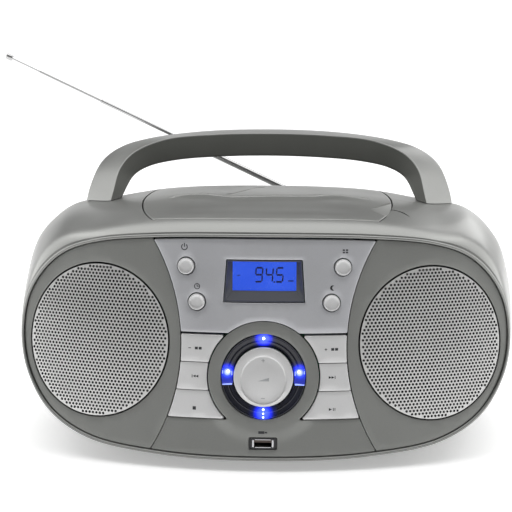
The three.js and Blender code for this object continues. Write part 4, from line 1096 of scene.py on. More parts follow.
KEY_MARKS = {
    "preset_down_button": lambda x, z: memory_sign(x, z, plus=False),
    "skip_back_button": lambda x, z: [
        bar(x - 1.9, z, 0.4, 1.7), arrow(x - 0.7, z, 1.6, -1), arrow(x + 0.9, z, 1.6, -1)],
    "stop_button": lambda x, z: [bar(x, z, 1.9, 1.9)],
    "preset_up_button": lambda x, z: memory_sign(x, z, plus=True),
    "skip_forward_button": lambda x, z: [
        arrow(x - 0.9, z, 1.6, 1), arrow(x + 0.7, z, 1.6, 1), bar(x + 1.9, z, 0.4, 1.7)],
    "play_pause_button": lambda x, z: [
        arrow(x - 1.1, z, 1.7, 1), bar(x + 0.6, z, 0.4, 1.6), bar(x + 1.5, z, 0.4, 1.6)],
}


def key_marks(name, side, row):
    z = (BUTTON_ROWS[row] + BUTTON_ROWS[row + 1]) / 2 - (0 if row < 2 else 2.2)
    x = side * (38.5 if row != 2 else 39.0)
    return joined(name.replace("_button", "_mark"), *mark(KEY_MARKS[name](x, z), on_face, -KEY_PROUD - 0.05))


def rocker_marks():
    """A plus at the top of the rocker, a minus at its bottom and a growing wedge in its middle."""
    plus = [bar(-0.2, 9.3, 2.0, 0.42), bar(-0.2, 9.3, 0.42, 2.0)]
    minus = [bar(-0.2, -12.0, 2.2, 0.42)]
    wedge = [np.array([(-3.2, -2.3), (3.2, -2.3), (3.2, -0.3)])]
    pieces = []
    for loops, rise in ((plus, 1.9), (minus, 1.93), (wedge, 2.17)):
        pieces += mark(loops, on_dial, -rise - 0.04)
    return joined("rocker_marks", *pieces)


# ---- Speaker grilles ----
HOLE_PITCH = 2.2
GRILLE_MARGIN = 1.05  # outside of the holes
GRILLE_DOME = 1.0
GRILLE_PROUD = 0.35
HOLE_R = 0.79
HOLE_SIDES = 8
GRILLE_THICK = 0.5


def hole_centres():
    """Rows of holes, each row set half a pitch across from the next."""
    row_pitch = HOLE_PITCH * math.sqrt(3) / 2
    reach = GRILLE_R - GRILLE_MARGIN
    rows, columns = int(reach / row_pitch) + 1, int(reach / HOLE_PITCH) + 2
    centres = []
    for r in range(-rows, rows + 1):
        z = r * row_pitch
        places = [k * HOLE_PITCH + (r % 2) * HOLE_PITCH / 2 for k in range(-columns, columns)]
        centres += [(x, z) for x in places if math.hypot(x, z) < reach]
    return np.array(centres)


def grille(side):
    """A domed perforated sheet."""
    centres = hole_centres()
    a = (np.arange(HOLE_SIDES) + 0.5) * 2 * math.pi / HOLE_SIDES
    hole = HOLE_R * np.stack([np.cos(a), -np.sin(a)], 1)
    rim = circle((0, 0), GRILLE_R, 240)
    edge = len(rim)
    points = np.vstack([rim, (centres[:, None] + hole[None]).reshape(-1, 2)])
    starts = edge + np.arange(len(centres)) * HOLE_SIDES
    loops = [np.arange(edge)] + [np.arange(start, start + HOLE_SIDES) for start in starts]
    links = np.vstack([np.stack([loop, np.roll(loop, -1)], 1) for loop in loops]).tolist()
    _, _, triangles, origins, _, _ = delaunay_2d_cdt([Vector(p) for p in points], links, [], 1, 1e-6)
    back = np.array([o[0] for o in origins])
    triangles = back[np.array(triangles)]
    in_hole = (triangles[:, 0] >= edge) & (np.ptp((triangles - edge) // HOLE_SIDES, axis=1) == 0)
    triangles = triangles[~in_hole]
    flat = speaker_on_face(side, points)
    dome = np.zeros((len(points), 3))
    dome[:, 1] = GRILLE_DOME * (1 - np.sum(points**2, 1) / GRILLE_R**2)
    front, rear = (on_face(flat, depth - GRILLE_PROUD) - dome for depth in (0, GRILLE_THICK))
    count = len(points)
    faces = triangles.tolist() + (triangles[:, ::-1] + count).tolist()
    for loop in loops:
        ahead = np.roll(loop, -1)
        faces += np.stack([loop, ahead, ahead + count, loop + count], 1).tolist()
    name = "grille_right" if side > 0 else "grille_left"
    return make(name, np.vstack([front, rear]), faces, 40)


# ---- USB socket ----
USB_Y = face_y(0, USB_Z)


def usb_socket():
    can = rounded_about(0, USB_Z, 6.7, 2.9, 0.5)
    made = prism("usb_can", can, USB_Y + 0.4, USB_Y + 15.4)
    return combine(made, prism("inside", rounded_about(0, USB_Z, 6.2, 2.4, 0.5), USB_Y - 1, USB_Y + 14.2))


def usb_surround():
    width, height = USB_HOLE
    outer = rounded_about(0, USB_Z, width / 2 - 0.2, height / 2 - 0.2, 0.8)
    made = prism("usb_surround", outer, USB_Y + 0.6, USB_Y + 6)
    return combine(made, prism("inside", rounded_about(0, USB_Z, 6.85, 3.05, 0.5), USB_Y - 1, USB_Y + 8))


def usb_lips():
    """The bright spring tabs at both ends of the socket's mouth, and thin lips above and below it."""
    pieces = []
    for side in (-1, 1):
        tab = rounded_about(side * 5.55, USB_Z, 0.5, 2.05, 0.3)
        pieces.append(prism("tab", tab, USB_Y + 0.15, USB_Y + 6))
        lip = rounded_about(0, USB_Z + side * 2.22, 4.5, 0.17, 0.12)
        pieces.append(prism("lip", lip, USB_Y + 0.3, USB_Y + 5))
    return joined("usb_lips", *pieces)


def usb_contacts():
    ys, zs = (USB_Y + 2.4, USB_Y + 10.6), (USB_Z + 0.12, USB_Z + 0.36)
    strips = [block("strip", (x - 0.55, x + 0.55), ys, zs) for x in (-3.6, -1.2, 1.2, 3.6)]
    return joined("usb_contacts", *strips)


# ---- Solids used for cutting ----
def case_solid(name, grow=0.0, steps=220):
    """The whole case as one closed body, grown outward."""
    rings = [on_face(outline(RIM_OUTLINE, inward - grow, steps), -LIP_PROUD) for inward in (6, 1.2)]
    rim, wide = outline(RIM_OUTLINE, -grow, steps), outline(WIDE_OUTLINE, -grow, steps)
    rings += [front_ring(rim, wide, share) for share in (np.arange(28) / 28) ** 1.5]
    rings += [straight_ring(wide, y) for y in (0, 7)]
    rings += [rear_ring(wide, turn, CASE_BACK + grow) for turn in np.radians(np.linspace(0, 90, 30))]
    return tube(name, rings)


# ---- Disc compartment ----
WELL = [  # outward from the well's wall, and height
    (-15, WELL_FLOOR), (-13, WELL_FLOOR + 0.25), (-0.8, WELL_FLOOR + 0.25), (-0.2, WELL_FLOOR + 0.5),
    (0, WELL_FLOOR + 1.2), (0, DECK_TOP - 1.2), (0.4, DECK_TOP - 0.4), (1.4, DECK_TOP + 0.1),
    (1.4, CASE_TOP + 5),
]


def deck():
    """The black tray under the lid, with a stepped well for the disc."""
    made = prism("deck", lid_outline(-0.3, LID_ROOM_BACK), DECK_BOTTOM, CASE_TOP, "z")
    combine(made, case_solid("inner", -(LID_SKIN + 0.7)), "INTERSECT")
    combine(made, prism("above", lid_outline(-3.5, 46), DECK_TOP, CASE_TOP + 5, "z"))
    combine(made, block("hinge_room", (-200, 200), (44, 120), (DECK_TOP + 4, 200)))
    well = [(0, WELL_FLOOR), *((WELL_R + out, z) for out, z in WELL), (0, CASE_TOP + 5)]
    combine(made, turned("well", well, (0, SPINDLE_Y, 0), steps=160))
    combine(made, prism("below", lid_outline(-3, 50), 100, WELL_FLOOR - 2.4, "z"))
    combine(made, rod("hub_hole", 9, (0, SPINDLE_Y, 100), (0, SPINDLE_Y, 130), 64))
    return combine(made, prism("slot", rounded(-9, 9, SPINDLE_Y + 16, SPINDLE_Y + 58, 3), 100, 130, "z"))


def hub():
    profile = [
        (0, 113.4), (1.2, 113.4), (1.2, 120.6), (8.1, 120.6), (8.4, 120.9), (8.4, 123), (8.1, 123.4),
        (7.4, 123.6), (7.2, 124), (7.2, 126.2), (6.9, 127), (5.8, 128.3), (5.2, 128.7), (2.4, 129.0),
        (1.9, 128.6), (0, 128.6),
    ]
    return turned("hub", profile, (0, SPINDLE_Y, 0))


BALL = {"radius": 1.3, "reach": 6.3, "z": 125.4}


def hub_balls():
    """Three balls that hold the disc on its hub."""
    r, reach = BALL["radius"], BALL["reach"]
    profile = [(r * math.sin(t), -r * math.cos(t)) for t in np.linspace(0, math.pi, 14)]
    profile[0], profile[-1] = (0, -r), (0, r)
    balls = []
    for a in np.radians([90, 210, 330]):
        place = (reach * math.cos(a), SPINDLE_Y + reach * math.sin(a), BALL["z"])
        balls.append(turned("ball", profile, place, steps=24))
    return joined("hub_balls", *balls)


PICKUP_Y = SPINDLE_Y + 22.5
RAIL_X, RAIL_Z = 11.5, 114.6


def pickup():
    made = prism("pickup", rounded_about(0, PICKUP_Y, 15, 5.5, 1.2), 112.2, 117.6, "z")
    combine(made, prism("head", rounded_about(0, PICKUP_Y, 7.5, 5.3, 1), 117, 120.2, "z"), "UNION")
    collar = [(0, 119), (3.4, 119), (3.4, 120.6), (3.2, 120.9), (2.6, 121), (2.3, 120.7), (0, 120.7)]
    combine(made, turned("collar", collar, (0, PICKUP_Y, 0), steps=48), "UNION")
    for x in (-RAIL_X, RAIL_X):
        combine(made, rod("bore", 1.9, (x, PICKUP_Y - 10.5, RAIL_Z), (x, PICKUP_Y + 10.5, RAIL_Z), 32))
    return made


def pickup_lens():
    profile = [(0, 120.2), (2.1, 120.2), (2.1, 120.8), (1.5, 121.3), (0.8, 121.55), (0, 121.6)]
    return turned("pickup_lens", profile, (0, PICKUP_Y, 0), steps=48)


# ---- Rear ----
def on_back(points, depth):
    return np.stack([points[:, 0], np.full(len(points), CASE_BACK - depth), points[:, 1]], 1)


def door():
    """The battery door, with a ribbed pad for the thumb and a fine line near each end."""
    half, low, high = BATTERY["half"], BATTERY["low"], BATTERY["high"]
    made = plate("door", resampled(rounded(-half, half, low, high, 1.8), 3), on_back, 0, 2.4, 0.5, pitch=8)
    pad = rounded(-14, 14, high - 12, high - 3, 1.5)
    combine(made, prism("thumb_pad", pad, CASE_BACK - 1, CASE_BACK + 1))
    for k in range(5):
        rib = rounded_about(0, high - 10.8 + k * 1.6, 12, 0.35, 0.3)
        combine(made, prism("rib", rib, CASE_BACK - 1.5, CASE_BACK - 0.35), "UNION")
    for side in (-1, 1):
        line = rounded(side * 56 - 0.5, side * 56 + 0.5, low + 7, high - 7, 0.4)
        combine(made, prism("line", line, CASE_BACK - 0.5, CASE_BACK + 1))
    return made


def inlet():
    """A mains inlet with a figure-eight mouth and two round pins."""
    x0, x1, z0, z1 = INLET
    middle, z = (x0 + x1) / 2, (z0 + z1) / 2
    made = plate("inlet", resampled(rounded(x0, x1, z0, z1, 1.1), 2), on_back, 0.4, 16, 0.4, pitch=4)
    right = arc((middle + 4.1, z), 4.0, np.radians(np.linspace(-112, 112, 40)), 1.05)
    mouth = np.vstack([right, right[::-1] * (-1, 1) + (2 * middle, 0)])
    combine(made, prism("mouth", cleaned(turned_so(mouth), 0.2), CASE_BACK - 11, CASE_BACK + 2))
    pin = [(0, 0), (1.2, 0), (1.2, 8.2), (1.0, 8.7), (0.6, 9), (0, 9)]
    for x in (middle - 4.3, middle + 4.3):
        combine(made, turned("pin", pin, (x, CASE_BACK - 12, z), (0, 1, 0), 32), "UNION")
    return made


def screw(name, place):
    x, z = place
    profile = [
        (0, -11.6), (1.4, -11.6), (1.4, 0), (2.85, 0), (2.85, 0.9), (2.6, 1.5), (1.9, 1.9), (0, 2.05),
    ]
    made = turned(name, profile, (x, CASE_BACK - 2.4, z), (0, 1, 0), 48)
    for w, h in ((0.4, 1.7), (1.7, 0.4)):
        combine(made, prism("cross", bar(x, z, 2 * w, 2 * h), CASE_BACK - 1.5, CASE_BACK + 1))
    return made


def foot(name, place):
    """A rubber foot with a round edge and a hollow underneath."""
    r = FOOT_R
    profile = [
        (0, 0.6), (r - 3.2, 0.6), (r - 2.6, 0.25), (r - 2.2, 0), (r - 0.8, 0), (r - 0.25, 0.25), (r, 0.8),
        (r, 12), (0, 12),
    ]
    return combine(turned(name, profile, (*place, 0), steps=72), case_solid("clear", GAP))


# ---- Aerial ----
AERIAL_ALONG = np.array([-math.cos(AERIAL_SLOPE), 0, math.sin(AERIAL_SLOPE)])


def swivel():
    """The aerial's round post, with a slot and a pin for the tongue."""
    x, y, z = AERIAL_PIVOT
    r, top = AERIAL_FORK_R, z + 4.4
    profile = [(0, 104), (r, 104), (r, top - 1.2), (r - 0.35, top - 0.4), (r - 1.2, top), (0, top)]
    made = turned("swivel", profile, (x, y, 0), steps=64)
    half = AERIAL_TONGUE / 2 + GAP
    combine(made, block("slot", (x - 10, x + 10), (y - half, y + half), (z - 4.6, z + 10)))
    return combine(made, rod("pin", 1.1, (x, y - r + 0.6, z), (x, y + r - 0.6, z), 32), "UNION")


def stage(index):
    """One tube of the aerial. The first has the tongue, and the last is solid and ends in a knob."""
    start, end, outer, inner = AERIAL_STAGES[index]
    top = end - start
    if inner:
        profile = [
            (inner, 0), (outer, 0), (outer, top - 1.6), (outer - 0.08, top - 1.3), (outer, top - 1.0),
            (outer, top - 0.3), (outer - 0.12, top), (inner, top),
        ]
    else:
        profile = [
            (0, 0), (outer, 0), (outer, top - 0.4), (1.4, top - 0.4), (1.8, top - 0.1), (2, top + 0.6),
            (2, top + 3.3), (1.85, top + 3.9), (1.3, top + 4.4), (0, top + 4.5),
        ]
    place = AERIAL_PIVOT + start * AERIAL_ALONG
    made = turned(f"aerial_tube_{index + 1}", profile, place, AERIAL_ALONG, 48)
    return with_tongue(made, start) if index == 0 else made


def with_tongue(made, start):
    """The first tube, joined by a plug to the flat tongue that turns on the pin."""
    x, y, z = AERIAL_PIVOT
    half = AERIAL_TONGUE / 2
    aside = np.array([math.sin(AERIAL_SLOPE), 0, math.cos(AERIAL_SLOPE)])
    ends = (0, -2.2), (start + 2, -2.2), (start + 2, 2.2), (0, 2.2)
    corners = [AERIAL_PIVOT + along * AERIAL_ALONG + up * aside for along, up in ends]
    combine(made, prism("tongue", [(p[0], p[2]) for p in corners], y - half, y + half), "UNION")
    combine(made, rod("eye", 3, (x, y - half, z), (x, y + half, z)), "UNION")
    first, last = (AERIAL_PIVOT + (start + more) * AERIAL_ALONG for more in (-0.5, 1.4))
    combine(made, rod("plug", 2.3, first, last), "UNION")
    return combine(made, rod("eye_hole", 1.45, (x, y - 4, z), (x, y + 4, z), 32))


# ---- Handle ----
HANDLE_STEPS = 181


def handle_edge(half, shift=(0, 0, 0)):
    """A whole edge of the handle, from its right half moved by shift."""
    right = np.array(half, float) + shift
    right[-1, 0] = 0
    left = right[-2::-1] * (-1, 1, 1)
    return spline(np.vstack([right, left]), HANDLE_STEPS)


def rounded_bar(name, edges, radii, steps=7):
    """A bar swept through matching edges, each edge rounded by its radius."""
    rings = []
    count = len(edges)
    for k, corner in enumerate(edges):
        before, after = edges[k - 1] - corner, edges[(k + 1) % count] - corner
        far_before, far_after = (np.linalg.norm(d, axis=1, keepdims=True) for d in (before, after))
        a = corner + before / far_before * np.minimum(radii[k], 0.45 * far_before)
        b = corner + after / far_after * np.minimum(radii[k], 0.45 * far_after)
        for t in np.linspace(0, 1, steps):
            rings.append((1 - t) ** 2 * a + 2 * t * (1 - t) * corner + t**2 * b)
    return tube(name, np.stack(rings, 1), sharp=40)


def handle():
    """The handle's cover and the grip under it, each a bar of its own."""
    def mix(a, b, share):
        return a + (b - a) * share

    ridge, outer, inner = (handle_edge(half) for half in (HANDLE_RIDGE, HANDLE_OUTER, HANDLE_INNER))
    back, under = handle_edge(HANDLE_OUTER, HANDLE_BACK_SHIFT), handle_edge(HANDLE_INNER, HANDLE_UNDER_SHIFT)
    edges = [ridge, outer, back, mix(back, under, 0.45), mix(ridge, inner, 0.05)]
    cover = rounded_bar("handle_cover", edges, (0.5, 2.6, 3, 0.35, 0.05))
    edges = [mix(ridge, inner, 0.052), mix(back, under, 0.47), under, inner]
    grip = rounded_bar("handle_grip", edges, (0.05, 0.35, 3, 2.2))
    for piece in (cover, grip):
        combine(piece, case_solid("clear", GAP, 440), sharp=40)
    return cover, grip


# ---- Materials ----
def new_material(name, **values):
    """A node material, its tree and shader, with places in the object's own space to colour by."""
    material = bpy.data.materials.new(name)
    material.use_nodes = True
    tree = material.node_tree
    shader = tree.nodes["Principled BSDF"]
    for socket, value in values.items():
        shader.inputs[socket.replace("_", " ")].default_value = value
    return material, tree, shader, tree.nodes.new("ShaderNodeTexCoord").outputs["Object"]


def node(tree, kind, values=(), links=(), **settings):
    """A shader node with its settings, the values of its sockets, and what is linked to them."""
    made = tree.nodes.new("ShaderNode" + kind)
    for setting, value in settings.items():
        setattr(made, setting, value)
    for socket, value in dict(values).items():
        made.inputs[socket].default_value = value
    for socket, source in dict(links).items():
        tree.links.new(source, made.inputs[socket])
    return made.outputs


def blended(tree, share, first, second):
    """Two colours mixed by a number or by another node's value."""
    values, links = ((), {0: share}) if hasattr(share, "is_linked") else ({0: share}, {})
    return node(tree, "Mix", values, {**links, 6: first, 7: second}, data_type="RGBA")[2]


def noise(tree, place, size, detail=2.0, roughness=0.5, stretch=None):
    """Noise with grains of about size metres."""
    if stretch:
        place = node(tree, "Mapping", {"Scale": stretch}, {"Vector": place})["Vector"]
    values = {"Scale": 1 / size, "Detail": detail, "Roughness": roughness}
    return node(tree, "TexNoise", values, {"Vector": place})["Fac"]


def ramp(tree, value, stops):
    """A colour for each level of value."""
    made = tree.nodes.new("ShaderNodeValToRGB")
    while len(made.color_ramp.elements) < len(stops):
        made.color_ramp.elements.new(0.5)
    for element, (level, colour) in zip(made.color_ramp.elements, stops):
        element.position = level
        element.color = (*colour, 1)
    tree.links.new(value, made.inputs["Fac"])
    return made.outputs["Color"]


def spread(tree, value, low, high):
    """The value's usual stretch carried over to low and high."""
    values = {"From Min": 0.3, "From Max": 0.7, "To Min": low, "To Max": high}
    return node(tree, "MapRange", values, {"Value": value})["Result"]


def bump(tree, shader, height, depth):
    normal = node(tree, "Bump", {"Distance": depth, "Strength": 1}, {"Height": height})["Normal"]
    tree.links.new(normal, shader.inputs["Normal"])


def tinted(colour, share):
    return tuple(c * share for c in colour)


def grey(level):
    return (level, level, level)


FINE_SHARE = 0.35  # of the fine grain in the colour
FINE_SPREAD = 2.4  # of the fine grain against the slow tone changes
GLOSS_SPREAD = 0.035
COAT_ROUGHNESS = 0.12


def finish(name, colour, metallic, roughness, uneven=0.05, grain=0.0004, depth=4e-6, coat=0.0, stretch=None):
    """A moulded or painted surface: slow tone changes, uneven gloss and a fine grain."""
    material, tree, shader, place = new_material(
        name, Metallic=metallic, Coat_Weight=coat, Coat_Roughness=COAT_ROUGHNESS)
    slow, fine = noise(tree, place, 0.035, 3), noise(tree, place, grain, 2, 0.6, stretch)
    tones = [(0.3, tinted(colour, 1 - uneven)), (0.5, colour), (0.7, tinted(colour, 1 + uneven))]
    more = FINE_SPREAD * uneven
    fine_tones = [(0.3, tinted(colour, 1 - more)), (0.7, tinted(colour, 1 + more))]
    mixed = blended(tree, FINE_SHARE, ramp(tree, slow, tones), ramp(tree, fine, fine_tones))
    tree.links.new(mixed, shader.inputs["Base Color"])
    gloss = spread(tree, slow, roughness - GLOSS_SPREAD, roughness + GLOSS_SPREAD)
    tree.links.new(gloss, shader.inputs["Roughness"])
    bump(tree, shader, fine, depth)
    return material


LIGHTS = [((0, 21.6), 8.5), ((0, -20.6), 9.5), ((-20.4, 2.6), 8), ((20.4, 2.6), 8)]  # (across, up) and reach


def lit_by_lamps(name, base, levels, strength, reach_share=1.0):
    """Polished plastic with four blue lights shining through: above, below, and on both sides."""
    material, tree, shader, place = new_material(name, Emission_Strength=strength)
    cells = noise(tree, place, 0.02, 3)
    tones = ramp(tree, cells, [(0.3, tinted(base, 0.7)), (0.7, tinted(base, 1.4))])
    tree.links.new(tones, shader.inputs["Base Color"])
    tree.links.new(spread(tree, cells, 0.06, 0.12), shader.inputs["Roughness"])
    total = None
    for (across, up), reach in LIGHTS:
        spot = metres(on_dial(np.array([(across, up)]), 1.0))[0]
        apart = node(tree, "VectorMath", {1: spot}, {0: place}, operation="DISTANCE")["Value"]
        values = {"From Max": reach * reach_share * MM, "To Min": 1, "To Max": 0}
        near = node(tree, "MapRange", values, {"Value": apart}, interpolation_type="SMOOTHERSTEP")["Result"]
        if total is not None:
            near = node(tree, "Math", (), {0: total, 1: near}, operation="MAXIMUM")["Value"]
        total = near
    tree.links.new(ramp(tree, total, levels), shader.inputs["Emission Color"])
    return material


RING_GLOW = [(0, grey(0)), (0.25, (0.0, 0.002, 0.05)), (0.6, (0.004, 0.012, 0.5)), (1, (0.05, 0.09, 1))]
WINDOW_GLOW = [
    (0, (0.002, 0.004, 0.16)), (0.4, (0.004, 0.012, 0.42)), (0.75, (0.03, 0.07, 1)), (1, (0.5, 0.6, 1)),
]


def lamp_blue(name, strength, core):
    material, tree, shader, place = new_material(
        name, Base_Color=(0.1, 0.16, 0.7, 1), Emission_Strength=strength)
    cells = noise(tree, place, 0.0009, 2)
    tree.links.new(spread(tree, cells, 0.1, 0.22), shader.inputs["Roughness"])
    glow = ramp(tree, cells, [(0.3, tinted(core, 0.85)), (0.7, core)])
    tree.links.new(glow, shader.inputs["Emission Color"])
    bump(tree, shader, cells, 3e-5)
    return material


def screen_blue():
    material, tree, shader, place = new_material(
        "backlit_blue", Base_Color=(0.01, 0.03, 0.25, 1), Emission_Strength=0.9)
    slow = noise(tree, place, 0.03, 2)
    glow = ramp(tree, slow, [(0.3, (0.02, 0.09, 0.80)), (0.7, (0.035, 0.13, 0.93))])
    tree.links.new(glow, shader.inputs["Emission Color"])
    tree.links.new(spread(tree, slow, 0.2, 0.3), shader.inputs["Roughness"])
    return material


def clear():
    material, tree, shader, place = new_material(
        "clear_plastic", Base_Color=(0.02, 0.025, 0.04, 1), Alpha=0.1, Specular_IOR_Level=0.25)
    slow = noise(tree, place, 0.02, 2)
    tree.links.new(spread(tree, slow, 0.03, 0.06), shader.inputs["Roughness"])
    return material


def board_green():
    material, tree, shader, place = new_material("circuit_board")
    slow = noise(tree, place, 0.004, 2, 0.5, (1, 3, 1))
    tones = [(0.44, (0.012, 0.09, 0.035)), (0.5, (0.03, 0.2, 0.08)), (0.56, (0.012, 0.09, 0.035))]
    tree.links.new(ramp(tree, slow, tones), shader.inputs["Base Color"])
    tree.links.new(spread(tree, slow, 0.3, 0.45), shader.inputs["Roughness"])
    bump(tree, shader, slow, 3e-5)
    return material


MATERIALS = {
    "titan": finish("titan_paint", (0.262, 0.265, 0.255), 0.72, 0.33, coat=0.1),
    # A darker copy of the titan paint for the side panels and the lower fascia: painted shade of the front
    # face.
    "panel": finish("titan_paint_shaded_copy", (0.215, 0.219, 0.208), 0.6, 0.4, coat=0.1),
    "silver": finish("silver_paint", (0.475, 0.48, 0.5), 0.7, 0.34, coat=0.12),
    "key": finish("key_silver", grey(0.625), 0.5, 0.36, 0.03, coat=0.15),
    # A near-black copy of the body paint for the grip under the handle: painted shade of the handle's
    # underside.
    "grip": finish("grip_paint", (0.075, 0.077, 0.069), 0.4, 0.45, coat=0.05),
    "screen_frame": finish("screen_bezel", (0.052, 0.056, 0.07), 0.1, 0.32),
    "grille": finish("grille_metal", (0.62, 0.62, 0.61), 0.8, 0.34, 0.03),
    "black": finish("black_plastic", (0.016, 0.016, 0.017), 0.0, 0.5, 0.2, depth=1.2e-5),
    "deck": finish("deck_plastic", (0.03, 0.03, 0.031), 0.0, 0.42, 0.2, depth=1.2e-5),
    "ink": finish("printed_ink", (0.016, 0.017, 0.02), 0.0, 0.5, 0.2),
    "pale_ink": finish("pale_ink", (0.33, 0.34, 0.35), 0.1, 0.5, 0.1),
    "figures": finish("screen_ink", (0.006, 0.010, 0.075), 0.0, 0.4, 0.2),
    "chrome": finish("chrome_tube", grey(0.5), 1.0, 0.16, 0.02, 0.0015, 2e-6, stretch=(6, 6, 1)),
    "steel": finish("plain_steel", (0.52, 0.52, 0.53), 1.0, 0.3, 0.06, 0.0006, stretch=(1, 8, 8)),
    # A darkened copy of the plain steel for the socket's can: painted shade inside the socket's mouth.
    "shaded_steel": finish("steel_shaded_copy", (0.06, 0.06, 0.062), 0.8, 0.4, 0.06, 0.0006),
    "tongue": finish("socket_tongue", (0.075, 0.052, 0.042), 0.0, 0.5, 0.2),
    "gold": finish("contact_gold", (0.78, 0.56, 0.22), 1.0, 0.28),
    "paper": finish("cone_paper", (0.022, 0.022, 0.023), 0.0, 0.85, 0.3, 0.0012, 6e-5),
    "rubber": finish("foot_rubber", (0.02, 0.02, 0.021), 0.0, 0.75, 0.25, 0.0008, 3e-5),
    "winding": finish(
        "varnished_winding", (0.33, 0.15, 0.05), 0.3, 0.4, 0.2, 0.0007, 1e-4, stretch=(1, 1, 7)),
    "ring": lit_by_lamps("gloss_black_lit", (0.01, 0.011, 0.02), RING_GLOW, 2.2),
    "window": lit_by_lamps("light_window_blue", (0.03, 0.05, 0.3), WINDOW_GLOW, 1.5, 0.75),
    "lamp": lamp_blue("lamp_white_blue", 9.0, (0.45, 0.55, 1.0)),
    "glint": lamp_blue("lamp_edge_blue", 1.2, (0.35, 0.45, 1.0)),
    "screen": screen_blue(),
    "clear": clear(),
    "board": board_green(),
}


# ---- Assembly ----
KEY_NAMES = {
    -1: ["preset_down_button", "skip_back_button", "stop_button"],
    1: ["preset_up_button", "skip_forward_button", "play_pause_button"],
}


def add(piece, material, body, slot, *nodes):
    piece.data.materials.clear()
    piece.data.materials.append(MATERIALS[material])
    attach(piece, body)
    if nodes:
        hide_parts(*nodes)
    return piece


def keep(node_name, material):
    """A CAD node that stays, with a finished material."""
    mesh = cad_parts[node_name].data
    mesh.materials.clear()
    mesh.materials.append(MATERIALS[material])
    for polygon in mesh.polygons:
        polygon.material_index = 0


LENSES = [  # (across, up), radius and depth of each round lens, above and below
    ((0, 21.7), 0.75, -0.2), ((0, -18.7), 0.6, 1.7), ((0, -20.9), 0.45, 1.1), ((0, -22.9), 0.5, 0.2),
]
SIDE_LENS = [(0, 0), (0.95, 0), (0.8, 0.3), (0.4, 0.45), (0, 0.5)]


def lamps():
    """Small bright lenses over the lights in the ring."""
    def dome(place, depth, profile):
        return turned("dome", profile, on_dial(np.array([place]), depth)[0], DIAL_OUT, 24)

    domes = []
    for place, r, depth in LENSES:
        profile = [(0, 0), (r, 0), (r * 0.8, r * 0.35), (r * 0.4, r * 0.52), (0, r * 0.58)]
        domes.append(dome(place, depth, profile))
    domes += [dome((side * 20.2, 3.0), 0.95, SIDE_LENS) for side in (-1, 1)]
    return joined("ring_lamps", *domes)


WINDOW_EDGES = [(23.0, 3.2, 0.28, 1.5), (17.9, 2.4, 0.28, 1.7), (20.4, -4.25, 2.7, 0.42)]


def window_edges():
    """Bright edges of the light windows: an upright line on each side of the lamp and a pale strip below."""
    def at(points, depth):
        out = np.clip((np.abs(points[:, 0]) - ROCKER_R) / (RING_R - ROCKER_R), 0, 1)
        return on_dial(points, depth + 1.5 - WINDOW_SLOPE * out)

    pieces = []
    for side in (-1, 1):
        for across, up, half_width, half_height in WINDOW_EDGES:
            shape = rounded_about(side * across, up, half_width, half_height, 0.2)
            pieces.append(plate("edge", resampled(shape, 1), at, 0, 0.5, 0.08, pitch=2))
    return joined("window_edges", *pieces)


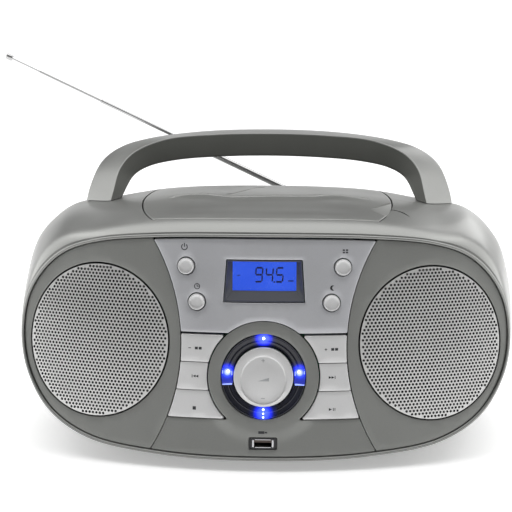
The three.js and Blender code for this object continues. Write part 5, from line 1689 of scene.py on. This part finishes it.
def assemble():
    add(front_shell(), "titan", "case", "titan_paint", "front_housing")
    add(rear_shell(), "titan", "case", "titan_paint", "rear_housing")
    add(lid(), "titan", "cd_lid", "titan_paint", "cd_lid")
    for side, hand in ((-1, "left"), (1, "right")):
        # The side panels take the darker copy of the titan paint, which is painted shade.
        add(side_panel(side), "panel", "case", "titan_paint", f"front_panel_{hand}")
        add(grille(side), "grille", "case", "grille_metal", f"speaker_grille_{hand}")
        add(light_window(side), "window", "case", "gloss_black")
        add(screw(f"case_screw_{hand}", SCREW_PLACES[hand]), "steel", "case", "steel", f"rear_screw_{hand}")
    add(upper_fascia(), "silver", "case", "silver_paint", "upper_fascia")
    # The lower fascia takes the darker copy of the titan paint, which is painted shade.
    add(lower_fascia(), "panel", "case", "titan_paint", "lower_fascia")
    add(glow_ring(), "ring", "case", "gloss_black", "light_ring")
    add(lamps(), "lamp", "case", "gloss_black")
    add(window_edges(), "glint", "case", "gloss_black")
    add(rocker(), "key", "volume_rocker", "key_silver", "volume_rocker")
    add(rocker_marks(), "pale_ink", "volume_rocker", "key_silver")
    add(display_frame(), "screen_frame", "case", "screen_bezel", "display_bezel")
    add(digits(), "figures", "case", "blue_screen")
    add(fascia_marks(), "ink", "case", "silver_paint")
    add(usb_mark(), "ink", "case", "titan_paint")
    for name, centre in ROUND_BUTTONS.items():
        add(round_key(name.replace("_button", "_key"), centre), "key", name, "key_silver", name)
    for side, names in KEY_NAMES.items():
        for row, name in enumerate(names):
            add(key(name.replace("_button", "_key"), side, row), "key", name, "key_silver", name)
            add(key_marks(name, side, row), "ink", name, "key_silver")
    # The socket's can takes the darkened copy of the plain steel, which is painted shade.
    add(usb_socket(), "shaded_steel", "case", "steel", "usb_shell")
    add(usb_lips(), "steel", "case", "steel")
    add(usb_surround(), "black", "case", "black_plastic")
    add(usb_contacts(), "gold", "case", "steel")
    add(deck(), "deck", "case", "black_plastic", "cd_deck")
    add(hub(), "black", "spindle", "black_plastic", "spindle_hub")
    add(hub_balls(), "chrome", "spindle", "steel")
    add(pickup(), "black", "laser_pickup", "black_plastic", "laser_pickup")
    add(pickup_lens(), "screen_frame", "laser_pickup", "black_plastic")
    add(door(), "titan", "battery_door", "titan_paint", "battery_door")
    add(inlet(), "black", "case", "black_plastic", "ac_inlet")
    for where, place in FOOT_PLACES.items():
        add(foot(f"rubber_foot_{where}", place), "rubber", "case", "rubber", f"foot_{where}")
    add(swivel(), "black", "aerial_swivel", "black_plastic", "aerial_swivel")
    for index in range(len(AERIAL_STAGES)):
        name = f"aerial_stage_{index + 1}"
        add(stage(index), "chrome", name, "chrome", name)
    cover, grip = handle()
    add(cover, "titan", "case", "titan_paint", "handle_top_shell")
    # The grip takes the near-black copy of the body paint, which is painted shade.
    add(grip, "grip", "case", "grip_paint", "handle_grip_shell")


KEPT = {
    "clear": ["display_window"], "screen": ["display_module"], "board": ["key_board", "main_board"],
    "tongue": ["usb_tongue"], "winding": ["power_transformer"],
    "black": ["battery_tray", "speaker_frame_left", "speaker_frame_right"],
    "paper": ["speaker_cone_left", "speaker_cone_right"],
    "steel": [
        "spindle_motor", "lid_hinge_pin", "guide_rail_left", "guide_rail_right", "speaker_magnet_left",
        "speaker_magnet_right",
    ],
}

assemble()
for material, names in KEPT.items():
    for name in names:
        keep(name, material)


# ---- Studio ----
SOFTBOXES = {  # place, size and power
    "left": ((-1300, 250, 620), (1.3, 1.7), 12),
    "right": ((1300, 250, 620), (1.3, 1.7), 12),
    "behind_right": ((700, 1250, 660), (0.6, 0.5), 1.8),
}
SOFTBOX_TARGET = (0, 0, 80)
CEILING_POWER, CEILING_SPREAD, CEILING_TILT = 2.2, math.radians(80), math.radians(-12)
FLOOR_REACH, FLOOR_GLOW = 40, 0.3
WALL_BEHIND = [(0, grey(1.0)), (0.2, grey(0.95)), (0.36, grey(0.18)), (0.6, grey(0.15)), (0.85, grey(0.25))]
WALL_AHEAD = [(0, grey(0.36)), (0.35, grey(0.24)), (0.7, grey(0.2)), (0.9, grey(0.25))]


def softbox(name, place, size, power):
    data = bpy.data.lights.new(name, "AREA")
    data.shape = "RECTANGLE"
    data.size, data.size_y = size
    data.energy = power
    light = linked(name, data)
    light.location = metres(place)
    toward = Vector(metres(SOFTBOX_TARGET)) - Vector(metres(place))
    light.rotation_euler = toward.to_track_quat("-Z", "Y").to_euler()


def studio_sky():
    """A studio room: a light ceiling, a light wall behind, and a dim room in front."""
    world = bpy.data.worlds.new("studio")
    world.use_nodes = True
    tree = world.node_tree
    way = node(tree, "SeparateXYZ", (), {"Vector": node(tree, "TexCoord")["Generated"]})
    share = node(tree, "MapRange", {"From Min": -0.35, "From Max": 0.35}, {"Value": way["Y"]})["Result"]
    colour = blended(tree, share, ramp(tree, way["Z"], WALL_AHEAD), ramp(tree, way["Z"], WALL_BEHIND))
    tree.links.new(colour, tree.nodes["Background"].inputs["Color"])
    bpy.context.scene.world = world


def floor():
    material, tree, shader, place = new_material(
        "floor_paper", Roughness=0.85, Emission_Color=(1, 1, 1, 1), Emission_Strength=FLOOR_GLOW)
    slow = noise(tree, place, 0.6, 3)
    tree.links.new(ramp(tree, slow, [(0.3, grey(0.90)), (0.7, grey(0.93))]), shader.inputs["Base Color"])
    mesh = bpy.data.meshes.new("floor")
    corners = [(x * FLOOR_REACH, y * FLOOR_REACH, 0) for x, y in ((-1, -1), (1, -1), (1, 1), (-1, 1))]
    mesh.from_pydata(corners, [], [(0, 1, 2, 3)])
    mesh.materials.append(material)
    linked("floor", mesh)


def studio():
    floor()
    studio_sky()
    ceiling = bpy.data.lights.new("sky_panel", "SUN")
    ceiling.energy, ceiling.angle = CEILING_POWER, CEILING_SPREAD
    linked("sky_panel", ceiling).rotation_euler = (CEILING_TILT, 0, 0)
    for name, box in SOFTBOXES.items():
        softbox(name, *box)
    bpy.context.scene.view_settings.view_transform = "Standard"


studio()
